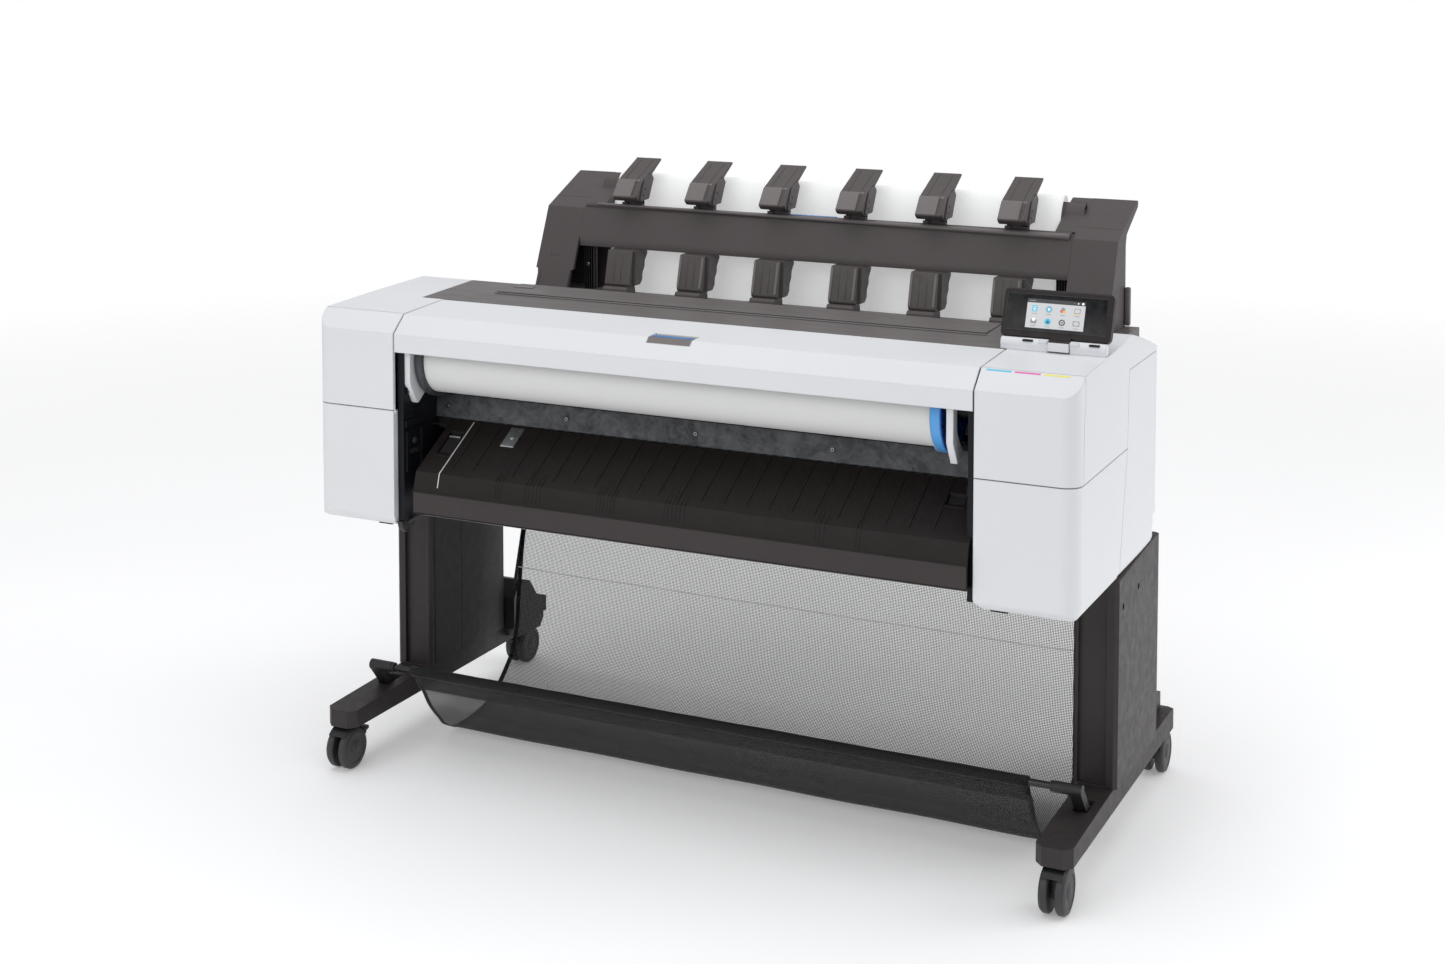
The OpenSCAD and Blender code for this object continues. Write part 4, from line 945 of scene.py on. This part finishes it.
for s in (-1, 1):
    x0, x1 = sorted((s * 472, s * 499))
    g.box((x0, 640, 796.5), (x1, 646, 884), 0)                      # dark inner guide behind the opening
    for k in range(5):
        xx = s * (474 + 5 * k)
        a, b2 = sorted((xx, xx + s * 1.6))
        g.box((a, 634, 798), (b2, 640, 880), 0)
    x = s * 486
    g.cyl((x, 633.4, 846), (x, 630.2, 846), 4.2, 20, 1)
    g.cyl((x, 630.4, 846), (x, 629.8, 846), 2.0, 6, 2)
g.make("bracket_inner_guides", ["black", "screw", "gap"], "frame", bevel=0.4)
g = G()
g.box((584.2, 690, 798), (594.5, 700, 868), 0)
g.make("bracket_side_box", ["paddle_base"], "frame", bevel=3.0, seg=3)

# ------------------------------------------------------------------ roll bay
# hub faces: rings, ribs and collar
g = G()
for x0, d, m_, nm in ((-501.7, -1, 0, "l"), (467.2, 1, 1, "r")):
    g.lathe([(56, 0), (69.0, 0), (69.0, 1.6), (56, 1.6)], (x0, 95, 755), (d, 0, 0), 72, m_)
    g.lathe([(30, 0), (56, 0), (56, 0.5), (30, 0.5)], (x0, 95, 755), (d, 0, 0), 72, m_)
    g.lathe([(14, 0), (30, 0), (29, 4.5), (14, 4.5)], (x0, 95, 755), (d, 0, 0), 48, m_)
    for k in range(8):
        a = math.pi / 4 * k
        c, s = math.cos(a), math.sin(a)
        vs = []
        for rr in (29, 57):
            for w in (-1.6, 1.6):
                for dx in (0, 2.2 * d):
                    vs.append((x0 + dx, 95 + rr * c - w * s, 755 + rr * s + w * c))
        g.add(vs, [(0, 1, 3, 2), (4, 6, 7, 5), (0, 2, 6, 4), (1, 5, 7, 3), (0, 4, 5, 1), (2, 3, 7, 6)], m_)
# light inner rim against the paper
g.lathe([(62.6, 0), (69.6, 0), (69.6, 1.2), (62.6, 1.2)], (450.3, 95, 755), (-1, 0, 0), 72, 3)
g.make("hub_faces", ["hubg", "hubb", "hubring", "white"], "roll", bevel=0.5)
# strip fixings
g = G()
for x in (-494, -250, 0, 250, 494):
    g.cyl((x, 120.2, 661), (x, 117.4, 661), 3.6, 18, 0)
    g.cyl((x, 117.6, 661), (x, 117.0, 661), 1.6, 6, 1)
g.make("strip_screws", ["screw", "gap"], "frame", bevel=0.3)
# cheek mouldings: pads, slots and ribs on the inner faces next to the roll
g = G()
for s in (-1, 1):
    def sx(a, b):
        return sorted((s * a, s * b))
    for (y0, z0, y1, z1) in ((16, 640, 70, 652), (18, 560, 26, 632), (64, 560, 72, 632), (20, 700, 30, 790)):
        x0, x1 = sx(514.6, 518.2)
        g.box((x0, y0, z0), (x1, y1, z1), 0)
    for k in range(4):
        x0, x1 = sx(516.2, 518.2)
        g.box((x0, 34, 655 + 12 * k), (x1, 66, 659 + 12 * k), 0)
    x0, x1 = sx(515.6, 518.2)
    g.box((x0, 30, 590), (x1, 58, 598), 1)
    g.cyl((s * 518.2, 45, 612), (s * 516.0, 45, 612), 5.5, 24, 2)
    # spindle cradle
    g.lathe([(9.2, 0), (17, 0), (17, 4.5), (9.2, 4.5)], (s * 518, 95, 755), (-s, 0, 0), 40, 0)
g.make("cheek_mouldings", ["navy", "gap", "grey"], "frame", bevel=0.8)
# dark end piece below the left cheek and the grey tie bar next to it
g = G()
g.prism([(6, 473.6), (60, 473.6), (40, 458), (20, 452), (10, 462)], 'x', -530, -519, 0)
g.sweep([(-524, 24, 466), (-500, 60, 483), (-480, 92, 486)], 3.2, 10, 1)
g.make("tray_end_pieces", ["black", "grey"], "frame", bevel=0.8)
# small hook beside the left cabinet seam
g = G()
g.prism([(-530.6, 674), (-527.4, 671), (-527.0, 668.6), (-530.6, 666.6)], 'y', 2, 5, 0)
g.prism([(-530.8, 684), (-529.6, 684), (-529.6, 666.6), (-530.8, 666.6)], 'y', 2, 5, 0)
g.make("door_catch_tab", ["white"], "frame", bevel=0.4)

# ------------------------------------------------------------------ apron details
SA = 67 / 117.0
def az(y):
    return 570 + SA * y
g = G()
# cut-sheet alignment line down the slope and over the front strip
xl = -437
g.prism([(-7.2, 546.9), (0.0, 571.2), (116, az(116) + 0.7), (116, az(116) + 0.2), (0.3, 570.1), (-6.7, 546.4)], 'x', xl - 0.9, xl + 0.9, 0)
g.make("alignment_line", ["cream"], "frame", smooth=False)
g = G()
# groups of embossed lines across the front strip and the foot of the slope
for xs_ in ((-322, -317, -311), (-263, -256, -249, -241, -234), (-124, -118, -112, -105, -98, -92), (2, 8, 15, 22, 30, 38), (270, 277, 285), (340, 346)):
    for x in xs_:
        g.prism([(-9.0, 541.6), (-0.3, 571.0), (26, az(26) + 0.5), (26, az(26) + 0.1), (0.2, 570.2), (-8.5, 541.2)], 'x', x - 0.45, x + 0.45, 0)
# very fine guide lines over the slope
for k in range(150):
    x = -430 + k * 6.0
    if x > 456:
        break
    g.prism([(20, az(20) + 0.32), (106, az(106) + 0.32), (108, az(108) + 0.02), (18, az(18) + 0.02)], 'x', x - 0.22, x + 0.22, 1)
g.make("apron_marks", ["apron_mark", "apron_mark"], "frame", smooth=False)
# frames of the recess pockets with a roller in the left one
g = G()
for (x0, x1, y0, y1) in ((-470, -443, 39, 92), (463, 493, 63, 88)):
    g.prism([(y0 - 2, az(y0 - 2) + 0.9), (y0, az(y0) + 0.9), (y0, az(y0) - 0.5), (y0 - 2, az(y0 - 2) - 0.2)], 'x', x0 - 2, x1 + 2, 0)
    g.prism([(y1, az(y1) + 0.9), (y1 + 2, az(y1 + 2) + 0.9), (y1 + 2, az(y1 + 2) - 0.2), (y1, az(y1) - 0.5)], 'x', x0 - 2, x1 + 2, 0)
    for xx in (x0 - 2, x1):
        g.prism([(y0, az(y0) + 0.9), (y1, az(y1) + 0.9), (y1, az(y1) - 0.4), (y0, az(y0) - 0.4)], 'x', xx, xx + 2, 0)
    g.prism([(y0 + 1, az(y0) - 5.0), (y1 - 1, az(y1) - 5.0), (y1 - 1, az(y1) - 6.4), (y0 + 1, az(y0) - 6.4)], 'x', x0 + 0.5, x1 - 0.5, 1)
g.cyl((-468, 84, az(84) - 3), (-445, 84, az(84) - 3), 2.6, 18, 2)
g.make("pocket_frames", ["apron", "gap", "screw"], "frame", bevel=0.25)
# lip at the foot of the front strip
g = G()
g.prism([(-10.6, 535.2), (-10.6, 537.2), (-9.4, 538.0), (-9.2, 536.0)], 'x', -484, 524, 0)
g.prism([(-10.3, 497.4), (-10.3, 499.6), (-9.6, 499.8), (-9.6, 497.2)], 'x', -480, 524, 0)
g.make("apron_edge_lines", ["apron"], "frame", bevel=0.2)
g = G()
# thin skin over the front strip in the lighter apron copy: painted light, while the slope keeps the painted shade
g.prism([(-10.35, 500.2), (-10.35, 535.0), (-10.0, 535.4), (-10.0, 500.2)], 'x', -484.4, 523.6, 0)
g.make("apron_front_skin", ["apron_front"], "frame", bevel=0.15)
# paper cutter wire and its little block under the deflector are hidden inside: a toothed bar shows at the slot
g = G()
for k in range(50):
    x = -500 + k * 20.4
    g.box((x, 119.0, 638.4), (x + 10, 122.0, 641.4), 0)
g.make("slot_teeth", ["black"], "frame", bevel=0.4)

# ------------------------------------------------------------------ cabinets: shadow gaps, slots, top marks
g = G()
for s in (-1, 1):
    # dark strip behind the seam between door and lower cover: painted shadow in the gap
    def sx(a, b):
        return sorted((s * a, s * b))
    x0, x1 = sx(536.0, 668.0)
    g.box((x0, 5.0, 669), (x1, 6.4, 676), 0)
g.make("seam_painted_shadow_strips", ["gap"], "frame", smooth=False)
g = G()
g.box((552, 23.6, 460.4), (580, 32.4, 463.2), 0)
g.box((-580, 23.6, 460.4), (-552, 32.4, 463.2), 0)
g.make("underside_slots", ["gap"], "frame", bevel=0.5)
# two small marks on the right cabinet's top, as plain dots
g = G()
for y in (205, 232):
    g.box((660, y, top_z(y) + 0.05), (668, y + 1.6, top_z(y) + 0.45), 0)
g.make("cabinet_top_marks", ["grey"], "frame", bevel=0.15)

# ------------------------------------------------------------------ top frame: lid step line and a lighter patch on the lid, a painted sheen
g = G()
g.prism([(244, 847.1), (249.2, 847.3), (249.2, 848.6), (247.2, 849.3), (244, 848.0)], 'x', -470, 470, 0)
g.prism([(249.4, 847.4), (250.6, 847.5), (250.6, 850.2), (249.4, 849.4)], 'x', -468, 468, 1)
g.make("lid_front_bead", ["brown_top", "gap"], "frame", bevel=0.4)
g = G()
# lighter box on the lid window: painted sheen
g.box((-462, 300, 851.0), (-424, 315, 852.0), 0)
g.make("lid_painted_sheen_patch", ["paddle_base"], "window", bevel=0.5)

# ------------------------------------------------------------------ casters: hood between the wheels with a round top, hub caps
for c_, sx_, ys, d in (("fl", -1, 50, 1), ("fr", 1, 50, 1), ("rl", -1, 640, -1), ("rr", 1, 640, -1)):
    yw = ys - 20 * d
    xc = sx_ * 660
    g = G()
    # curved hood above the wheels
    arc = []
    for k in range(13):
        a = math.radians(20 + 118 * k / 12)
        arc.append((yw + d * 39.2 * math.cos(a), 37.5 + 39.2 * math.sin(a)))
    for k in range(12, -1, -1):
        a = math.radians(20 + 118 * k / 12)
        arc.append((yw + d * 41.4 * math.cos(a), 37.5 + 41.4 * math.sin(a)))
    arc2 = [(y, min(z, 77.4)) for y, z in arc]
    g.prism(arc2, 'x', xc - 17.5, xc + 17.5, 0)
    g.cyl((xc, ys, 72.5), (xc, ys, 79.4), 12.5, 32, 0)
    g.make("caster_hood_" + c_, ["black"], "fork_" + c_, bevel=0.7)
    g = G()
    for k in (-1, 1):
        g.lathe([(0.01, 22.6), (8.4, 22.2), (9.4, 21.2), (9.4, 20.6), (0.01, 20.6)], (xc, yw, 37.5), (k, 0, 0), 40, 0)
        g.lathe([(25.4, 20.7), (26.6, 21.5), (28.0, 21.6), (29.2, 20.9), (29.2, 20.4), (25.4, 20.4)], (xc, yw, 37.5), (k, 0, 0), 64, 0)
    g.make("caster_caps_" + c_, ["wheel"], "wheels_" + c_)

# ------------------------------------------------------------------ rod ends, bracket collars, a dark gap line and post ribs
g = G()
for s in (-1, 1):
    g.lathe([(6.3, 0), (8.6, 0), (9.0, 0.8), (9.0, 5.2), (8.6, 6), (6.3, 6)], (s * 620, 130, 157.3), (s, 0, 0), 32, 0)
    x0, x1 = sorted((s * 650.3, s * 673.2))
    g.box((x0, 156.4, 106.3), (x1, 198.6, 107.6), 1)
    # raised rib along the bracket post
    x0, x1 = sorted((s * 660.4, s * 663.4))
    g.prism([(139.4, 148.5), (152.6, 122), (160, 107), (163, 107), (155.6, 124), (142.4, 150)], 'x', x0, x1, 0)
g.make("rod_bracket_collars", ["black", "gap"], "frame", bevel=0.6)

# ------------------------------------------------------------------ back: sockets, inlet, vents, panel lines
g = G()
for k in range(3):
    x = -286 + 30 * k
    g.prism([(x, 603), (x + 22, 603), (x + 22, 630), (x, 630)], 'y', 699.2, 700.8, 0)
    g.box((x + 4, 698.2, 607), (x + 18, 701.0, 621), 1)
for k in range(2):
    x = -176 + 26 * k
    g.box((x, 699.2, 604), (x + 18, 700.8, 626), 0)
    g.box((x + 4, 698.2, 608), (x + 14, 701.0, 612), 1)
    g.box((x + 4, 698.2, 617), (x + 14, 701.0, 621), 1)
g.prism([(402, 542), (448, 542), (448, 562), (443, 568), (407, 568), (402, 562)], 'y', 697.6, 699.8, 1)
for x in (414, 425, 436):
    g.box((x - 1.2, 699.0, 551), (x + 1.2, 704.6, 558), 2)
g.box((396, 700.0, 536), (400, 702.0, 574), 0)
g.box((450, 700.0, 536), (454, 702.0, 574), 0)
g.make("rear_sockets", ["grey", "gap", "steel"], "frame", bevel=0.4)
g = G()
for r_ in range(9):
    for c0 in (-560, 480):
        g.prism([(700.1, 690 + 10 * r_), (702.0, 691.2 + 10 * r_), (702.0, 694.2 + 10 * r_), (700.1, 695.4 + 10 * r_)], 'x', c0, c0 + 80, 0)
for x in (-604, -330, 0, 330, 604):
    for z in (512, 784):
        g.cyl((x * 0.985, 700.0, z), (x * 0.985, 701.6, z), 3.6, 16, 1)
        g.box((x * 0.985 - 2.6, 701.4, z - 0.4), (x * 0.985 + 2.6, 701.9, z + 0.4), 2)
for x in (-400, 360):
    g.box((x - 0.5, 700.0, 506), (x + 0.5, 700.5, 790), 2)
g.make("rear_vents_and_screws", ["brown_top", "screw", "gap"], "frame", bevel=0.4)
# side grips
g = G()
for s in (-1, 1):
    x0, x1 = sorted((s * 692.2, s * 695.1))
    g.prism([(392, 520), (452, 521), (452, 545), (392, 544)], 'x', x0, x1, 0)
g.make("side_grip_recesses", ["white"], "frame", bevel=1.0)

# ------------------------------------------------------------------ inside: board parts, carriage labels-free caps, cartridge fronts
g = G()
rng = np.random.RandomState(11)
for k in range(26):
    x = -312 + rng.rand() * 230
    z = 515 + rng.rand() * 75
    w, h, t = 5 + rng.rand() * 16, 4 + rng.rand() * 12, 1 + rng.rand() * 5
    g.box((x, 660 - t, z), (x + w, 660, z + h), 0)
for k in range(7):
    x = -300 + 34 * k
    g.cyl((x, 660, 725), (x, 649, 725), 5, 20, 1)
g.make("board_parts", ["chip", "steel"], "frame", bevel=0.3)
g = G()
for i in range(4):
    g.box((533 + 32 * i, 222, 798.0 - 6 + 6.2), (549 + 32 * i, 282, 800.2), i % 4 if i < 4 else 0)
g.make("carriage_head_caps", ["cy", "mg", "ye", "chip"], "carriage", bevel=0.6)
g = G()
for s in (-1, 1):
    for i in range(3):
        x0, x1 = sorted((s * (552 + 43 * i), s * (580 + 43 * i)))
        g.box((x0 + 2, 20.6, 712), (x1 - 2, 22.4, 720), (i + (0 if s < 0 else 3)) % 4)
        g.box((x0 + 6, 18.2, 770), (x1 - 6, 22.2, 782), 4)
g.make("cartridge_fronts", ["cy", "mg", "ye", "chip", "ink"], "frame", bevel=0.6)

# ------------------------------------------------------------------ stage
def stage_plane():
    me = bpy.data.meshes.new("floor")
    n_ = 96
    radii = (0.0, 1.5, 3.0, 4.5, 6.0)
    vs = [(0.0, 0.0, -0.0004)]
    fs = []
    for r in radii[1:]:
        for k in range(n_):
            a = 2 * math.pi * k / n_
            vs.append((r * math.cos(a), r * math.sin(a), -0.0004))
    for k in range(n_):
        fs.append((0, 1 + k, 1 + (k + 1) % n_))
        for q in range(len(radii) - 2):
            a0, b0 = 1 + q * n_, 1 + (q + 1) * n_
            fs.append((a0 + k, b0 + k, b0 + (k + 1) % n_, a0 + (k + 1) % n_))
    me.from_pydata(vs, [], fs)
    m, nt, b, out = new_mat("pale_floor")
    v = coords(nt)
    base = mixc(nt, remap(nt, noise(nt, v, 1.3, 3.0), 0.3, 0.7, 0, 1), (0.93, 0.93, 0.935, 1), (0.95, 0.95, 0.95, 1))
    nt.links.new(base, b.inputs["Base Color"])
    b.inputs["Roughness"].default_value = 0.8
    b.inputs["Specular IOR Level"].default_value = 0.05
    b.inputs["Emission Color"].default_value = (1, 1, 1, 1)
    b.inputs["Emission Strength"].default_value = 0.20
    ln = node(nt, "ShaderNodeVectorMath", operation="LENGTH")
    nt.links.new(v, ln.inputs[0])
    nt.links.new(remap(nt, ln.outputs["Value"], 1.6, 5.4, 1.0, 0.0), b.inputs["Alpha"])
    me.materials.append(m)
    o = bpy.data.objects.new("floor", me)
    bpy.context.scene.collection.objects.link(o)


stage_plane()
# white surround for the eye of the camera, softer white for lighting the object
w = bpy.data.worlds.new("studio")
bpy.context.scene.world = w
w.use_nodes = True
wt = w.node_tree
for n_ in list(wt.nodes):
    wt.nodes.remove(n_)
wo = wt.nodes.new("ShaderNodeOutputWorld")
b_cam = wt.nodes.new("ShaderNodeBackground")
b_cam.inputs[0].default_value = (1, 1, 1, 1)
b_cam.inputs[1].default_value = 1.0
b_lit = wt.nodes.new("ShaderNodeBackground")
b_lit.inputs[0].default_value = (0.97, 0.98, 1.0, 1)
b_lit.inputs[1].default_value = 0.55
lp = wt.nodes.new("ShaderNodeLightPath")
wm = wt.nodes.new("ShaderNodeMixShader")
wt.links.new(lp.outputs["Is Camera Ray"], wm.inputs[0])
wt.links.new(b_lit.outputs[0], wm.inputs[1])
wt.links.new(b_cam.outputs[0], wm.inputs[2])
wt.links.new(wm.outputs[0], wo.inputs[0])


def area(name, loc, target, size, power, col=(1, 1, 1)):
    l = bpy.data.lights.new(name, "AREA")
    l.shape = "RECTANGLE"
    l.size, l.size_y = size
    l.energy = power
    l.color = col
    o = bpy.data.objects.new(name, l)
    o.location = loc
    o.rotation_mode = "QUATERNION"
    o.rotation_quaternion = (Vector(target) - Vector(loc)).to_track_quat("-Z", "Y")
    bpy.context.scene.collection.objects.link(o)
    return o


area("top", (0.0, -0.2, 4.2), (0, 0.0, 0.5), (5.0, 4.0), 62)
area("key", (-1.2, -4.2, 2.6), (0, 0, 0.6), (2.6, 1.8), 36)
area("right_rear", (3.4, 1.6, 1.5), (0.5, 0.1, 0.5), (1.8, 2.2), 30)

sc = bpy.context.scene
sc.view_settings.view_transform = "Standard"
sc.view_settings.look = "None"
sc.view_settings.exposure = 0.0

# ------------------------------------------------------------------ camera: the photograph's viewpoint, upright lines kept upright with lens shift
f_px, yaw, pitch, roll = 2144.3664, 26.4002, 3.8685, -0.0863
cx_, cy_, cz_ = 1.5577, -3.1093, 1.5112
ppx, ppy = 671.29, 75.93
cd = bpy.data.cameras.new("camera")
cd.sensor_fit = "HORIZONTAL"
cd.sensor_width = 36.0
cd.lens = f_px * 36.0 / 1445
cam = bpy.data.objects.new("camera", cd)
sc.collection.objects.link(cam)
ya, pa = math.radians(yaw), math.radians(pitch)
fwd = Vector((-math.sin(ya) * math.cos(pa), math.cos(ya) * math.cos(pa), -math.sin(pa)))
q = fwd.to_track_quat("-Z", "Y").to_matrix()
q = q @ Matrix.Rotation(math.radians(roll), 3, 'Z')
cam.location = (cx_, cy_ - D / 1000, cz_ * 1.0)
cam.rotation_mode = "QUATERNION"
cam.rotation_quaternion = q.to_quaternion()
cd.clip_start, cd.clip_end = 0.05, 60
sc.camera = cam
cd.shift_x = (722.5 - ppx) / 1445
cd.shift_y = -(482.0 - ppy) / 1445


# the shift belongs to this viewpoint only: it drops to zero when the camera is put anywhere else
def shift_driver(path, val):
    fc = cd.driver_add(path)
    d = fc.driver
    d.type = "AVERAGE"
    v = d.variables.new()
    v.type = "TRANSFORMS"
    t = v.targets[0]
    t.id = cam
    t.transform_type = "LOC_X"
    t.transform_space = "WORLD_SPACE"
    for m_ in list(fc.modifiers):
        fc.modifiers.remove(m_)
    while len(fc.keyframe_points):
        fc.keyframe_points.remove(fc.keyframe_points[0])
    for x, y in ((-50.0, 0.0), (cx_ - 0.008, val), (cx_ + 0.008, 0.0)):
        k = fc.keyframe_points.insert(x, y)
        k.interpolation = "CONSTANT"
    fc.extrapolation = "CONSTANT"


shift_driver("shift_x", cd.shift_x)
shift_driver("shift_y", cd.shift_y)
